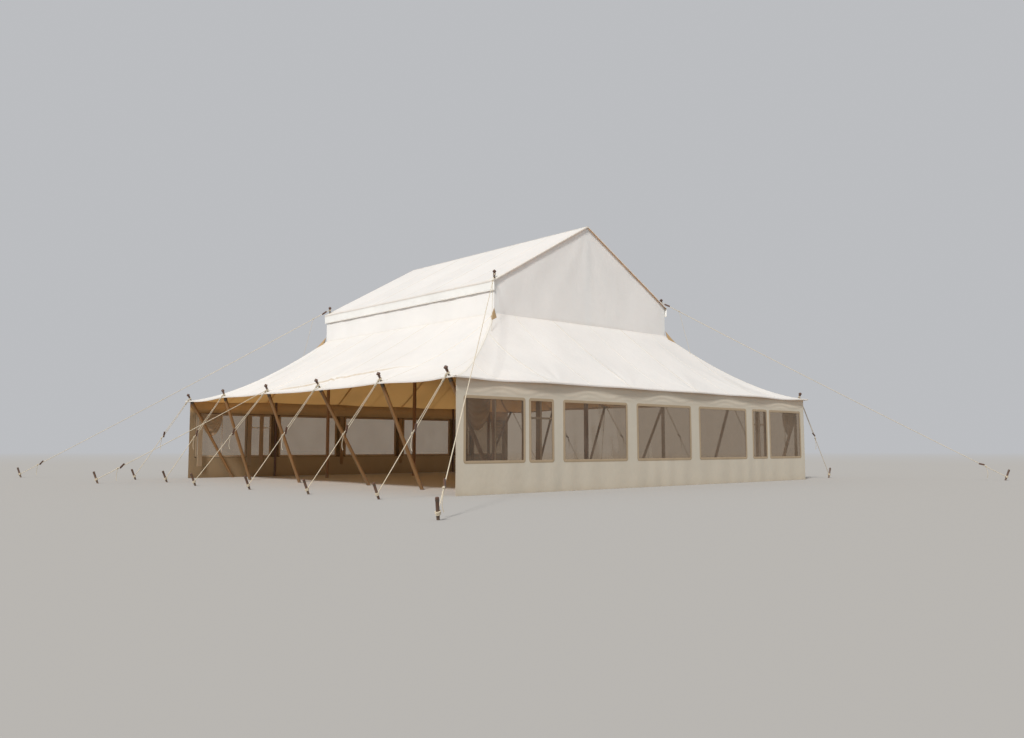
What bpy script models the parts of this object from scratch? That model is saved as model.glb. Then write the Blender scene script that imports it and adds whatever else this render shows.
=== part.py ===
"""Two-tier canvas marquee tent.

The frame of the model: the origin is on the ground under the middle of the tent, +Y runs along
the ridge, +Z is up.  Sizes are metres.  A low skirt roof runs round all four sides, hung from
raked side poles and their guy ropes.  A short upright canvas wall rises from its inner edge and
carries the upper roof, which is held up by a ridge pole on two king poles and by four inner poles.
Both long sides are open.  Each end has a canvas wall with clear windows.
"""

import math

import bmesh
import bpy
from mathutils import Vector

# Plan of the tent
BAY = 2.6
BAYS = 5
HALF_WIDTH = 6.5
UPPER_HALF_WIDTH = 3.25

# Heights of the lower roof, the upright wall and the upper roof
EAVE_HEIGHT = 2.3
LOWER_RISE = 1.82
UPRIGHT_HEIGHT = 0.83
UPPER_RISE = 1.83

# Canvas: thickness as modelled, turned-down hem, hanging valance, overhang of the upper roof
CANVAS = 0.012
LOWER_HEM = 0.035
UPPER_VALANCE = 0.25
UPPER_OVERHANG = 0.05
UPRIGHT_HEM = 0.06
SLOPE_ROWS = 6
SLOPE_COLUMNS = 20

# Sag of the lower roof: 1 is a straight slope, more is a hollow one
SAG_MIDDLE = 1.08
SAG_HIP = 1.6
SAG_START = 0.45

# Gap kept between pieces that touch
GAP = 0.0003

# Raked side poles: radius, how far the eyelet is inside the hem, and how far each foot is inside
# its eyelet, from the near corner to the far one, because no two lean alike
SIDE_POLE_RADIUS = 0.042
EYELET_INSET = 0.075
POLE_SPREADS = (1.25, 1.1, 1.4, 0.95, 0.82, 1.36)
CORNER_POLE_INSET = 0.25
POLE_SIDES = 10

# Spike and turned knob on each pole that passes through the canvas
SHOULDER = 0.036
SPIKE_RADIUS = 0.018
NECK_LENGTH = 0.115
KNOB_LENGTH = 0.1
KNOB_RADIUS = 0.046

# Guy ropes, their runners and the stakes, which stand this far outside the hem
ROPE_RADIUS = 0.009
LOOP_HEIGHT = 0.09
GUY_SPREADS = (1.5, 1.6, 1.6, 1.75, 1.45, 1.45)
RUNNER_RADIUS = 0.028
RUNNER_LENGTH = 0.13
RUNNER_PLACE = 0.47
STAKE_RADIUS = 0.026
STAKE_HEIGHT = 0.3
STAKE_LEAN = 0.12
STAKE_TIE = 0.1
STORM_POLE = 3
STORM_REACH = 3.05

# Corner guys of the upper roof, with the thin drop line on each: shares of the way to the stake
CORNER_GUY_X = 9.9
CORNER_GUY_Y = 10.5
DROP_PLACE = 0.051
DROP_FOOT = 0.083
DROP_RADIUS = 0.006

# Upright poles
KING_RADIUS = 0.06
RIDGE_RADIUS = 0.05
RIDGE_SIDES = 24
INNER_RADIUS = 0.05
END_POLE_RADIUS = 0.035
END_POLE_X = 3.6

# End walls, their windows, the clear sheet behind them and the curtains
WALL_INSET = 0.088
WALL_HALF_WIDTH = 6.38
WALL_HEAD_STEPS = 40
WINDOW_SILL = 0.65
WINDOW_HEAD = 1.9
CENTRE_WINDOW = (-1.0, 1.0)
SIDE_WINDOWS = ((1.4, 3.42), (3.78, 4.42), (4.6, 6.15))
SHEET = 0.004
SHEET_LAP = 0.05
RAIL_RADIUS = 0.01
RAIL_DROP = 0.04
CURTAIN_CENTRES = (1.2, 4.11, 4.51, 6.08)
CURTAIN_WIDTH = 0.15
CURTAIN_DEPTH = 0.018
CURTAIN_BOTTOM = 0.35
SWAG_NEAR = 5.42
SWAG_DROP = 0.7

# Worked out from the sizes above
HALF_LENGTH = BAY * BAYS / 2
UPPER_HALF_LENGTH = HALF_LENGTH - BAY
STEP_HEIGHT = EAVE_HEIGHT + LOWER_RISE
UPPER_EAVE = STEP_HEIGHT + UPRIGHT_HEIGHT
RIDGE_HEIGHT = UPPER_EAVE + UPPER_RISE
UPPER_SLOPE = UPPER_RISE / UPPER_HALF_WIDTH


def clear_scene():
    """Takes every object out, so that the script starts from nothing."""
    for item in list(bpy.data.objects):
        bpy.data.objects.remove(item, do_unlink=True)


def make_material(name, colour, roughness, metallic=0.0):
    """One finish for a sub-part."""
    finish = bpy.data.materials.new(name)
    finish.use_nodes = True
    shader = finish.node_tree.nodes["Principled BSDF"]
    shader.inputs["Base Color"].default_value = (*colour, 1.0)
    shader.inputs["Roughness"].default_value = roughness
    shader.inputs["Metallic"].default_value = metallic
    return finish


def mesh_from(points, faces):
    """A mesh of the given points and faces, with its normals turned outwards."""
    shape = bmesh.new()
    corners = [shape.verts.new(p) for p in points]
    for face in faces:
        shape.faces.new([corners[i] for i in face])
    bmesh.ops.recalc_face_normals(shape, faces=shape.faces)
    mesh = bpy.data.meshes.new("shape")
    shape.to_mesh(mesh)
    shape.free()
    return mesh


def place(name, mesh, finish, smooth=False):
    """Puts a mesh into the scene as a named sub-part."""
    mesh.name = name
    mesh.materials.clear()
    mesh.materials.append(finish)
    if smooth:
        mesh.shade_smooth()
        mesh.set_sharp_from_angle(angle=math.radians(35))
    item = bpy.data.objects.new(name, mesh)
    bpy.context.scene.collection.objects.link(item)
    return item


def boolean(mesh, others, operation):
    """Joins the other meshes to the first one, or cuts them out of it."""
    item = bpy.data.objects.new("work", mesh)
    bpy.context.scene.collection.objects.link(item)
    helpers = []
    for other in others:
        helper = bpy.data.objects.new("helper", other)
        bpy.context.scene.collection.objects.link(helper)
        helpers.append(helper)
        step = item.modifiers.new("step", "BOOLEAN")
        step.operation = operation
        step.solver = "EXACT"
        step.object = helper
    bpy.context.view_layer.update()
    graph = bpy.context.evaluated_depsgraph_get()
    result = bpy.data.meshes.new_from_object(item.evaluated_get(graph))
    for helper in helpers:
        bpy.data.objects.remove(helper, do_unlink=True)
    bpy.data.objects.remove(item, do_unlink=True)
    return result


def ring_mesh(rings):
    """A closed body through a row of rings with as many points each, capped at both ends."""
    sides = len(rings[0])
    points = [p for ring in rings for p in ring]
    faces = [tuple(range(sides)), tuple(range(len(points) - sides, len(points)))]
    for row in range(len(rings) - 1):
        for k in range(sides):
            following = (k + 1) % sides
            low = row * sides
            high = low + sides
            faces.append((low + k, low + following, high + following, high + k))
    return mesh_from(points, faces)


def across(axis):
    """Two directions at right angles to an axis."""
    helper = Vector((0, 1, 0)) if abs(axis.y) < 0.9 else Vector((1, 0, 0))
    first = axis.cross(helper).normalized()
    return first, axis.cross(first)


def circle(centre, axis, radius, sides):
    """Points of a circle round an axis."""
    first, second = across(axis)
    turns = [2 * math.pi * k / sides for k in range(sides)]
    return [centre + radius * (math.cos(t) * first + math.sin(t) * second) for t in turns]


def onto_ground(ring, axis):
    """Slides the points of a ring along the axis until they lie on the ground."""
    return [p - axis * (p.z / axis.z) for p in ring]


def rod_mesh(start, end, radius, sides):
    """A straight round rod."""
    axis = (end - start).normalized()
    return ring_mesh([circle(start, axis, radius, sides), circle(end, axis, radius, sides)])


def turned_mesh(foot, axis, stations, sides):
    """A turned pole: each station is a distance along the axis and a radius, the first is its foot."""
    rings = [circle(foot + axis * s, axis, r, sides) for s, r in stations]
    rings[0] = onto_ground(rings[0], axis)
    return ring_mesh(rings)


def loop_mesh(centre, axis, inner, thick):
    """A ring of rope round a neck: a small circle carried round a large one."""
    around = 12
    section = 5
    first, second = across(axis)
    points = []
    for k in range(around):
        turn = 2 * math.pi * k / around
        out = math.cos(turn) * first + math.sin(turn) * second
        for j in range(section):
            tilt = math.pi + 2 * math.pi * j / section
            reach = inner / math.cos(math.pi / around) + thick * (1 + math.cos(tilt))
            points.append(centre + out * reach + axis * thick * math.sin(tilt))
    faces = []
    for k in range(around):
        for j in range(section):
            low = k * section
            high = ((k + 1) % around) * section
            next_j = (j + 1) % section
            faces.append((low + j, low + next_j, high + next_j, high + j))
    return mesh_from(points, faces)


def box_mesh(low, high):
    """A plain block between two corners."""
    shape = bmesh.new()
    bmesh.ops.create_cube(shape, size=1)
    for corner in shape.verts:
        corner.co = Vector([low[i] if corner.co[i] < 0 else high[i] for i in range(3)])
    mesh = bpy.data.meshes.new("block")
    shape.to_mesh(mesh)
    shape.free()
    return mesh


def plate_mesh(outline, back, front):
    """A plate of the outline in X and Z, between two values of Y."""
    return ring_mesh([[Vector((x, y, z)) for x, z in outline] for y in (back, front)])


def smooth_step(value):
    """Goes from 0 to 1 with level ends."""
    value = min(max(value, 0.0), 1.0)
    return value * value * (3 - 2 * value)


def slope_place(x, y):
    """Which slope a plan point is on, how far up it is, 0 to 1, and how far along, -1 to 1."""
    up_side = (HALF_WIDTH - abs(x)) / (HALF_WIDTH - UPPER_HALF_WIDTH)
    up_end = (HALF_LENGTH - abs(y)) / (HALF_LENGTH - UPPER_HALF_LENGTH)
    side = up_side <= up_end
    up = min(max(min(up_side, up_end), 0.0), 1.0)
    if side:
        along = y / (HALF_LENGTH - up * (HALF_LENGTH - UPPER_HALF_LENGTH))
    else:
        along = x / (HALF_WIDTH - up * (HALF_WIDTH - UPPER_HALF_WIDTH))
    return side, math.copysign(1, x if side else y), up, min(max(along, -1.0), 1.0)


def row_shares(side):
    """How far up each row of a slope's grid is: the hem, the inside of its turned-down edge, then even steps."""
    run = (HALF_WIDTH - UPPER_HALF_WIDTH) if side else (HALF_LENGTH - UPPER_HALF_LENGTH)
    return [0.0, CANVAS / run] + [k / SLOPE_ROWS for k in range(1, SLOPE_ROWS + 1)]


def slope_point(side, sign, up, along):
    """A corner of the lower roof's upper face: a slope that is hollow along the hips."""
    near_hip = smooth_step((abs(along) - SAG_START) / (1 - SAG_START))
    sag = SAG_MIDDLE + (SAG_HIP - SAG_MIDDLE) * near_hip
    height = EAVE_HEIGHT + LOWER_RISE * up ** sag
    across_x = HALF_WIDTH - up * (HALF_WIDTH - UPPER_HALF_WIDTH)
    across_y = HALF_LENGTH - up * (HALF_LENGTH - UPPER_HALF_LENGTH)
    if side:
        return Vector((sign * across_x, along * across_y, height))
    return Vector((along * across_x, sign * across_y, height))


def height_in(corners, x, y):
    """Height of the plane through three corners at a plan point, or None outside them."""
    a, b, c = corners
    area = (b.x - a.x) * (c.y - a.y) - (c.x - a.x) * (b.y - a.y)
    second = ((x - a.x) * (c.y - a.y) - (c.x - a.x) * (y - a.y)) / area
    third = ((b.x - a.x) * (y - a.y) - (x - a.x) * (b.y - a.y)) / area
    if min(second, third, 1 - second - third) < -1e-6:
        return None
    return a.z + second * (b.z - a.z) + third * (c.z - a.z)


def lower_roof_height(x, y):
    """Height of the lower roof's upper face at a plan point, on the facets of its grid."""
    side, sign, up, along = slope_place(x, y)
    shares = row_shares(side)
    row = sum(1 for share in shares[1:-1] if share <= up)
    column = min(int((along + 1) / 2 * SLOPE_COLUMNS), SLOPE_COLUMNS - 1)
    ups = (shares[row], shares[row + 1])
    alongs = (2 * column / SLOPE_COLUMNS - 1, 2 * (column + 1) / SLOPE_COLUMNS - 1)
    low, low_next, high, high_next = [slope_point(side, sign, u, a) for u in ups for a in alongs]
    for corners in halves((low, low_next, high, high_next), column < SLOPE_COLUMNS / 2):
        height = height_in(corners, x, y)
        if height is not None:
            return height
    return low.z


def lowest_over(points):
    """Lowest height of the lower roof's under face over some plan points."""
    return min(lower_roof_height(x, y) for x, y in points) - CANVAS


def round_about(x, y, radius):
    """Plan points on a small circle, with its middle."""
    turns = [2 * math.pi * k / 12 for k in range(12)]
    return [(x, y)] + [(x + radius * math.cos(t), y + radius * math.sin(t)) for t in turns]


def upper_roof_height(x):
    """Height of the upper roof's upper face, two flat slopes."""
    return RIDGE_HEIGHT - UPPER_SLOPE * abs(x)


def halves(square, first_half):
    """The two triangles of a grid square, split the mirrored way in the first half of a slope."""
    low, low_next, high, high_next = square
    if first_half:
        return [(low, low_next, high), (low_next, high_next, high)]
    return [(low, low_next, high_next), (low, high_next, high)]


def sheet_body(outer, inner):
    """A closed sheet between two grids of points, each a list of rows."""
    rows = len(outer)
    columns = len(outer[0])
    points = [p for row in outer for p in row] + [p for row in inner for p in row]
    shift = rows * columns
    faces = []
    for r in range(rows - 1):
        for c in range(columns - 1):
            a = r * columns + c
            b = a + 1
            d = a + columns
            for skin in (0, shift):
                square = [corner + skin for corner in (a, b, d, d + 1)]
                faces += halves(square, c < (columns - 1) / 2)
    for c in range(columns - 1):
        for r in (0, rows - 1):
            a = r * columns + c
            faces.append((a, a + 1, a + 1 + shift, a + shift))
    for r in range(rows - 1):
        for c in (0, columns - 1):
            a = r * columns + c
            d = a + columns
            faces.append((a, d, d + shift, a + shift))
    return mesh_from(points, faces)


def slope_grid(side, sign, rows):
    """Rows of points of one slope: each row is a share of the way up and a fall below the face."""
    grid = []
    for up, fall in rows:
        row = []
        for k in range(SLOPE_COLUMNS + 1):
            along = 2 * k / SLOPE_COLUMNS - 1
            point = slope_point(side, sign, up, along)
            point.z -= fall
            if side:
                point.y -= GAP * along
                point.x += sign * GAP * up
            else:
                point.y += sign * GAP * up
            row.append(point)
        grid.append(row)
    return grid


def slope_mesh(side, sign):
    """One slope of the lower roof with the turned-down edge of its hem."""
    shares = row_shares(side)
    inside = shares[1]
    outer = slope_grid(side, sign, [(0, LOWER_HEM)] + [(u, 0) for u in shares])
    inner = slope_grid(side, sign, [(inside, 0), (inside, 0)] + [(u, CANVAS) for u in shares[1:]])
    for k, point in enumerate(outer[0]):
        inner[0][k].z = point.z
        inner[1][k].z = (point.z + inner[2][k].z) / 2
    return sheet_body(outer, inner)


def pole_rows():
    """Y of each side pole, the two at the corners drawn in a little."""
    rows = []
    for k in range(BAYS + 1):
        y = -HALF_LENGTH + k * BAY
        if k == 0:
            y += CORNER_POLE_INSET
        if k == BAYS:
            y -= CORNER_POLE_INSET
        rows.append(y)
    return rows


def side_pole_line(sign, k):
    """Where a side pole passes its eyelet, its foot, and the direction in which it leans."""
    x = sign * (HALF_WIDTH - EYELET_INSET)
    y = pole_rows()[k]
    eyelet = Vector((x, y, lower_roof_height(x, y)))
    foot = Vector((x - sign * POLE_SPREADS[k % len(POLE_SPREADS)], y, 0))
    return eyelet, foot, (eyelet - foot).normalized()


def spike_stations(top):
    """Stations of the spike and knob above a pole, measured from the eyelet at the distance top."""
    knob = top + NECK_LENGTH
    return [
        (top - SHOULDER, SPIKE_RADIUS),
        (knob, SPIKE_RADIUS),
        (knob + 0.15 * KNOB_LENGTH, 0.9 * KNOB_RADIUS),
        (knob + 0.5 * KNOB_LENGTH, KNOB_RADIUS),
        (knob + 0.85 * KNOB_LENGTH, 0.8 * KNOB_RADIUS),
        (knob + KNOB_LENGTH, 0.35 * KNOB_RADIUS),
    ]


def side_pole_mesh(sign, k):
    """A raked pole with its shoulder under the canvas, its spike through it and its knob above."""
    eyelet, foot, axis = side_pole_line(sign, k)
    top = (eyelet - foot).length
    stations = [(0, SIDE_POLE_RADIUS), (top - SHOULDER, SIDE_POLE_RADIUS)] + spike_stations(top)
    return turned_mesh(foot, axis, stations, POLE_SIDES)


def spike_cutter(eyelet, axis):
    """The eyelet hole that a spike passes through."""
    reach = axis * (SHOULDER + NECK_LENGTH / 2)
    return rod_mesh(eyelet - reach, eyelet + reach, SPIKE_RADIUS + GAP, POLE_SIDES)


def stake_mesh(ground, out):
    """A wooden stake driven in by its foot, leaning away from the tent."""
    top = ground + out * STAKE_LEAN + Vector((0, 0, STAKE_HEIGHT))
    axis = (top - ground).normalized()
    length = (top - ground).length
    stations = [(0, STAKE_RADIUS), (length - 0.02, STAKE_RADIUS), (length, 0.6 * STAKE_RADIUS)]
    return turned_mesh(ground, axis, stations, 8)


def guy_pieces(start, ground):
    """A straight rope to a stake, with its runner on it."""
    flat = Vector((ground.x - start.x, ground.y - start.y, 0))
    out = flat.normalized()
    tie = ground + out * STAKE_LEAN * STAKE_TIE / STAKE_HEIGHT + Vector((0, 0, STAKE_TIE))
    way = tie - start
    middle = start + way * RUNNER_PLACE
    half = way.normalized() * RUNNER_LENGTH / 2
    return [
        rod_mesh(start, tie, ROPE_RADIUS, 6),
        rod_mesh(middle - half, middle + half, RUNNER_RADIUS, 8),
        stake_mesh(ground, out),
    ]


def guy_start(neck, ground, axis):
    """Where a guy leaves the loop round a neck, on the side that faces its stake."""
    flat = Vector((ground.x - neck.x, ground.y - neck.y, 0)).normalized()
    out = (flat - axis * flat.dot(axis)).normalized()
    return neck + out * (SPIKE_RADIUS + GAP + ROPE_RADIUS)


def side_guy_mesh(sign, k):
    """A side guy: a loop over the neck, the rope, its runner and its stake."""
    eyelet, _, axis = side_pole_line(sign, k)
    neck = eyelet + axis * LOOP_HEIGHT
    pieces = []
    spread = GUY_SPREADS[k % len(GUY_SPREADS)]
    grounds = [Vector((sign * (HALF_WIDTH + spread), eyelet.y, 0))]
    if k == STORM_POLE:
        grounds.append(Vector((sign * (HALF_WIDTH + STORM_REACH), eyelet.y + STORM_REACH, 0)))
    for ground in grounds:
        pieces += guy_pieces(guy_start(neck, ground, axis), ground)
    return boolean(loop_mesh(neck, axis, SPIKE_RADIUS + GAP, ROPE_RADIUS), pieces, "UNION")


def inner_pole_place(sign_x, sign_y):
    """Middle of an inner pole, against the upright wall and the gable."""
    x = sign_x * (UPPER_HALF_WIDTH - CANVAS - GAP - INNER_RADIUS)
    y = sign_y * (UPPER_HALF_LENGTH - CANVAS - GAP - INNER_RADIUS)
    return x, y


def corner_guy_mesh(sign_x, sign_y):
    """The long guy from an upper corner to its stake, with the thin line that drops from it."""
    x, y = inner_pole_place(sign_x, sign_y)
    up = Vector((0, 0, 1))
    neck = Vector((x, y, upper_roof_height(x) + LOOP_HEIGHT))
    ground = Vector((sign_x * CORNER_GUY_X, sign_y * CORNER_GUY_Y, 0))
    start = guy_start(neck, ground, up)
    knot = start.lerp(ground, DROP_PLACE)
    foot = start.lerp(ground, DROP_FOOT)
    roof = max(lower_roof_height(px, py) for px, py in round_about(foot.x, foot.y, DROP_RADIUS))
    lean = (foot.xy - knot.xy).length / (knot.z - roof)
    below = Vector((foot.x, foot.y, roof + GAP + DROP_RADIUS * lean))
    pieces = guy_pieces(start, ground)
    pieces.append(rod_mesh(below, knot, DROP_RADIUS, 6))
    return boolean(loop_mesh(neck, up, SPIKE_RADIUS + GAP, ROPE_RADIUS), pieces, "UNION")


def inner_pole_mesh(sign_x, sign_y):
    """An upright pole under a corner of the upper roof."""
    x, y = inner_pole_place(sign_x, sign_y)
    eyelet = upper_roof_height(x)
    shoulder = upper_roof_height(abs(x) + INNER_RADIUS) - CANVAS - GAP
    stations = [(0, INNER_RADIUS), (shoulder, INNER_RADIUS), (shoulder, SPIKE_RADIUS)]
    stations += spike_stations(eyelet)[1:]
    return turned_mesh(Vector((x, y, 0)), Vector((0, 0, 1)), stations, POLE_SIDES)


def upper_roof_mesh(sign):
    """One slope of the upper roof with its valance, carried along the ridge."""
    edge = UPPER_HALF_WIDTH + UPPER_OVERHANG
    low = upper_roof_height(edge)
    profile = [
        (GAP / 2, RIDGE_HEIGHT),
        (edge, low),
        (edge, low - UPPER_VALANCE),
        (edge - CANVAS, low - UPPER_VALANCE),
        (edge - CANVAS, upper_roof_height(edge - CANVAS) - CANVAS),
        (GAP / 2, RIDGE_HEIGHT - CANVAS),
    ]
    reach = UPPER_HALF_LENGTH + UPPER_OVERHANG
    whole = plate_mesh([(sign * x, z) for x, z in profile], -reach, reach)
    holes = []
    for sign_y in (-1, 1):
        x, y = inner_pole_place(sign, sign_y)
        holes.append(spike_cutter(Vector((x, y, upper_roof_height(x))), Vector((0, 0, 1))))
    return boolean(whole, holes, "DIFFERENCE")


def upright_wall_mesh(sign):
    """The short wall between the two roofs, on a long side."""
    outer = UPPER_HALF_WIDTH
    inner = outer - CANVAS
    reach = UPPER_HALF_LENGTH - CANVAS - GAP
    low = STEP_HEIGHT - UPRIGHT_HEM
    outline = [
        (sign * inner, low),
        (sign * outer, low),
        (sign * outer, upper_roof_height(outer) - CANVAS - GAP),
        (sign * inner, upper_roof_height(inner) - CANVAS - GAP),
    ]
    return plate_mesh(outline, -reach, reach)


def gable_mesh(sign):
    """The upright end of the upper tier, from the lower roof to the ridge."""
    low = STEP_HEIGHT - UPRIGHT_HEM
    high = upper_roof_height(UPPER_HALF_WIDTH) - CANVAS - GAP
    peak = RIDGE_HEIGHT - CANVAS - GAP
    half = UPPER_HALF_WIDTH
    outline = [(-half, low), (half, low), (half, high), (0, peak), (-half, high)]
    return plate_mesh(outline, sign * (UPPER_HALF_LENGTH - CANVAS), sign * UPPER_HALF_LENGTH)


def ridge_middle():
    """Height of the ridge pole's middle, so that it lies against both slopes."""
    lean = math.atan(UPPER_SLOPE)
    return RIDGE_HEIGHT - CANVAS - (RIDGE_RADIUS + GAP) / math.cos(lean)


def ridge_pole_mesh():
    """The round ridge pole between the gables."""
    reach = UPPER_HALF_LENGTH - CANVAS - GAP
    height = ridge_middle()
    return rod_mesh(Vector((0, -reach, height)), Vector((0, reach, height)), RIDGE_RADIUS, RIDGE_SIDES)


def king_pole_mesh(sign):
    """A king pole under one end of the ridge pole."""
    y = sign * (UPPER_HALF_LENGTH - CANVAS - GAP - KING_RADIUS)
    top = ridge_middle() - RIDGE_RADIUS - GAP
    return rod_mesh(Vector((0, y, 0)), Vector((0, y, top)), KING_RADIUS, 16)


def wall_faces(sign):
    """Y of an end wall's outer and inner face."""
    outer = HALF_LENGTH - WALL_INSET
    return sign * outer, sign * (outer - CANVAS)


def window_spans():
    """Left and right edge of each window of an end wall."""
    mirrored = [(-right, -left) for left, right in SIDE_WINDOWS]
    return mirrored + [CENTRE_WINDOW] + list(SIDE_WINDOWS)


def end_wall_mesh(sign):
    """An end wall from the ground to the roof, with its windows cut through."""
    outer, inner = wall_faces(sign)
    outline = [(-WALL_HALF_WIDTH, 0), (WALL_HALF_WIDTH, 0)]
    step = 2 * WALL_HALF_WIDTH / WALL_HEAD_STEPS
    for k in range(WALL_HEAD_STEPS + 1):
        x = WALL_HALF_WIDTH - k * step
        stretch = [(x + step * n / 8, outer) for n in range(-8, 9)]
        outline.append((x, lowest_over(stretch) - GAP))
    blocks = []
    for left, right in window_spans():
        low = min(outer, inner) - 0.1
        high = max(outer, inner) + 0.1
        blocks.append(box_mesh((left, low, WINDOW_SILL), (right, high, WINDOW_HEAD)))
    return boolean(plate_mesh(outline, inner, outer), blocks, "DIFFERENCE")


def window_sheet_mesh(sign):
    """One clear sheet on the inside of an end wall, over all its windows."""
    _, inner = wall_faces(sign)
    outer_face = inner - sign * GAP
    inner_face = outer_face - sign * SHEET
    half = max(right for _, right in SIDE_WINDOWS) + SHEET_LAP
    low = (-half, min(outer_face, inner_face), WINDOW_SILL - SHEET_LAP)
    high = (half, max(outer_face, inner_face), WINDOW_HEAD + SHEET_LAP)
    return box_mesh(low, high)


def end_pole_middle(sign):
    """Y of the poles that stand against the clear sheet."""
    _, inner = wall_faces(sign)
    return inner - sign * (GAP + SHEET + GAP + END_POLE_RADIUS)


def end_pole_mesh(sign_x, sign_y):
    """An upright pole behind an end wall, under the lower roof."""
    y = end_pole_middle(sign_y)
    x = sign_x * END_POLE_X
    top = lowest_over(round_about(x, y, END_POLE_RADIUS)) - GAP
    return rod_mesh(Vector((x, y, 0)), Vector((x, y, top)), END_POLE_RADIUS, 16)


def curtain_mesh(sign):
    """A curtain rail on the end poles, its narrow curtains, and the swags over the corner windows."""
    y = end_pole_middle(sign) - sign * (END_POLE_RADIUS + GAP + RAIL_RADIUS)
    height = WINDOW_HEAD + RAIL_DROP
    reach = max(CURTAIN_CENTRES) + CURTAIN_WIDTH / 2
    rail = rod_mesh(Vector((-reach, y, height)), Vector((reach, y, height)), RAIL_RADIUS, 8)
    back = y - CURTAIN_DEPTH / 2
    front = y + CURTAIN_DEPTH / 2
    pieces = []
    for side in (-1, 1):
        for centre in CURTAIN_CENTRES:
            left = side * centre - CURTAIN_WIDTH / 2
            right = side * centre + CURTAIN_WIDTH / 2
            pieces.append(box_mesh((left, back, CURTAIN_BOTTOM), (right, front, height)))
        near = SWAG_NEAR
        far = max(CURTAIN_CENTRES)
        outline = [(side * near, height), (side * far, height)]
        for k in range(9):
            share = k / 8
            drop = SWAG_DROP * (0.3 + 0.7 * math.sin(math.pi * share))
            outline.append((side * (far + (near - far) * share), height - drop))
        thin = CURTAIN_DEPTH / 4
        pieces.append(plate_mesh(outline, y - thin, y + thin))
    return boolean(rail, pieces, "UNION")


def build_roofs(canvas):
    """The four lower slopes, the two upper slopes, the upright walls and the gables."""
    for name, sign in (("left", -1), ("right", 1)):
        holes = []
        for k in range(BAYS + 1):
            eyelet, _, axis = side_pole_line(sign, k)
            holes.append(spike_cutter(eyelet, axis))
        slope = boolean(slope_mesh(True, sign), holes, "DIFFERENCE")
        place(f"lower_roof_{name}", slope, canvas)
        place(f"upper_roof_{name}", upper_roof_mesh(sign), canvas)
        place(f"upright_wall_{name}", upright_wall_mesh(sign), canvas)
    for name, sign in (("near", -1), ("far", 1)):
        place(f"lower_roof_{name}", slope_mesh(False, sign), canvas)
        place(f"gable_{name}", gable_mesh(sign), canvas)


def build_ends(canvas, clear, fabric, timber):
    """The end walls with their clear sheets, poles and curtains."""
    for name, sign in (("near", -1), ("far", 1)):
        place(f"end_wall_{name}", end_wall_mesh(sign), canvas)
        place(f"window_sheet_{name}", window_sheet_mesh(sign), clear)
        place(f"curtains_{name}", curtain_mesh(sign), fabric)
        for side, sign_x in (("left", -1), ("right", 1)):
            place(f"end_pole_{name}_{side}", end_pole_mesh(sign_x, sign), timber, smooth=True)


def build_frame(timber):
    """The king poles, the ridge pole and the inner poles."""
    place("ridge_pole", ridge_pole_mesh(), timber, smooth=True)
    for name, sign in (("near", -1), ("far", 1)):
        place(f"king_pole_{name}", king_pole_mesh(sign), timber, smooth=True)
        for side, sign_x in (("left", -1), ("right", 1)):
            place(f"inner_pole_{name}_{side}", inner_pole_mesh(sign_x, sign), timber, smooth=True)


def build_sides(timber, rope):
    """The raked side poles with their guys, and the corner guys of the upper roof."""
    for side, sign in (("left", -1), ("right", 1)):
        for k in range(BAYS + 1):
            place(f"side_pole_{side}_{k + 1}", side_pole_mesh(sign, k), timber, smooth=True)
            place(f"side_guy_{side}_{k + 1}", side_guy_mesh(sign, k), rope)
        for name, sign_y in (("near", -1), ("far", 1)):
            place(f"corner_guy_{name}_{side}", corner_guy_mesh(sign, sign_y), rope)


def main():
    """Builds the whole tent."""
    clear_scene()
    canvas = make_material("white_canvas", (0.86, 0.83, 0.76), 0.8)
    timber = make_material("brown_timber", (0.33, 0.19, 0.09), 0.55)
    rope = make_material("cream_rope", (0.72, 0.63, 0.48), 0.9)
    clear = make_material("clear_sheet", (0.75, 0.78, 0.76), 0.15)
    fabric = make_material("beige_curtain", (0.62, 0.54, 0.41), 0.85)
    build_roofs(canvas)
    build_ends(canvas, clear, fabric, timber)
    build_frame(timber)
    build_sides(timber, rope)


main()
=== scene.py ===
"""Looks of a two-tier canvas marquee tent, laid out as an add-on and run as a script.

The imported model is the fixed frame: the origin is on the ground under the middle of the tent, +Y runs
along the ridge and +Z is up.  Sizes are metres.  Each piece is a surface worked out with numpy.
"""

import math

import bpy
import numpy as np
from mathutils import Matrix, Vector


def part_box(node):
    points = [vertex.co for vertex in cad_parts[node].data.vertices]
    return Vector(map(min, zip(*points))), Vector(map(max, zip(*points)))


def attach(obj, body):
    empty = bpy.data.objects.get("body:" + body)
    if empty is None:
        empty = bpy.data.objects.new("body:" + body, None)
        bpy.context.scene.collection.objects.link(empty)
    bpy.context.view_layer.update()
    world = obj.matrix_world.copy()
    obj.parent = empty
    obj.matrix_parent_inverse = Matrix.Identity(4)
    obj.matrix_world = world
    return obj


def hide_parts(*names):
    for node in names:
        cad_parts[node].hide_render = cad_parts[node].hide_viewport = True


bl_info = {
    "name": "Marquee Tent Looks",
    "version": (1, 0, 0),
    "blender": (4, 5, 0),
    "location": "3D View > Sidebar > Tent",
    "description": "Canvas, poles, ropes, windows and curtains of a two-tier marquee tent",
    "category": "Object",
}

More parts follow.
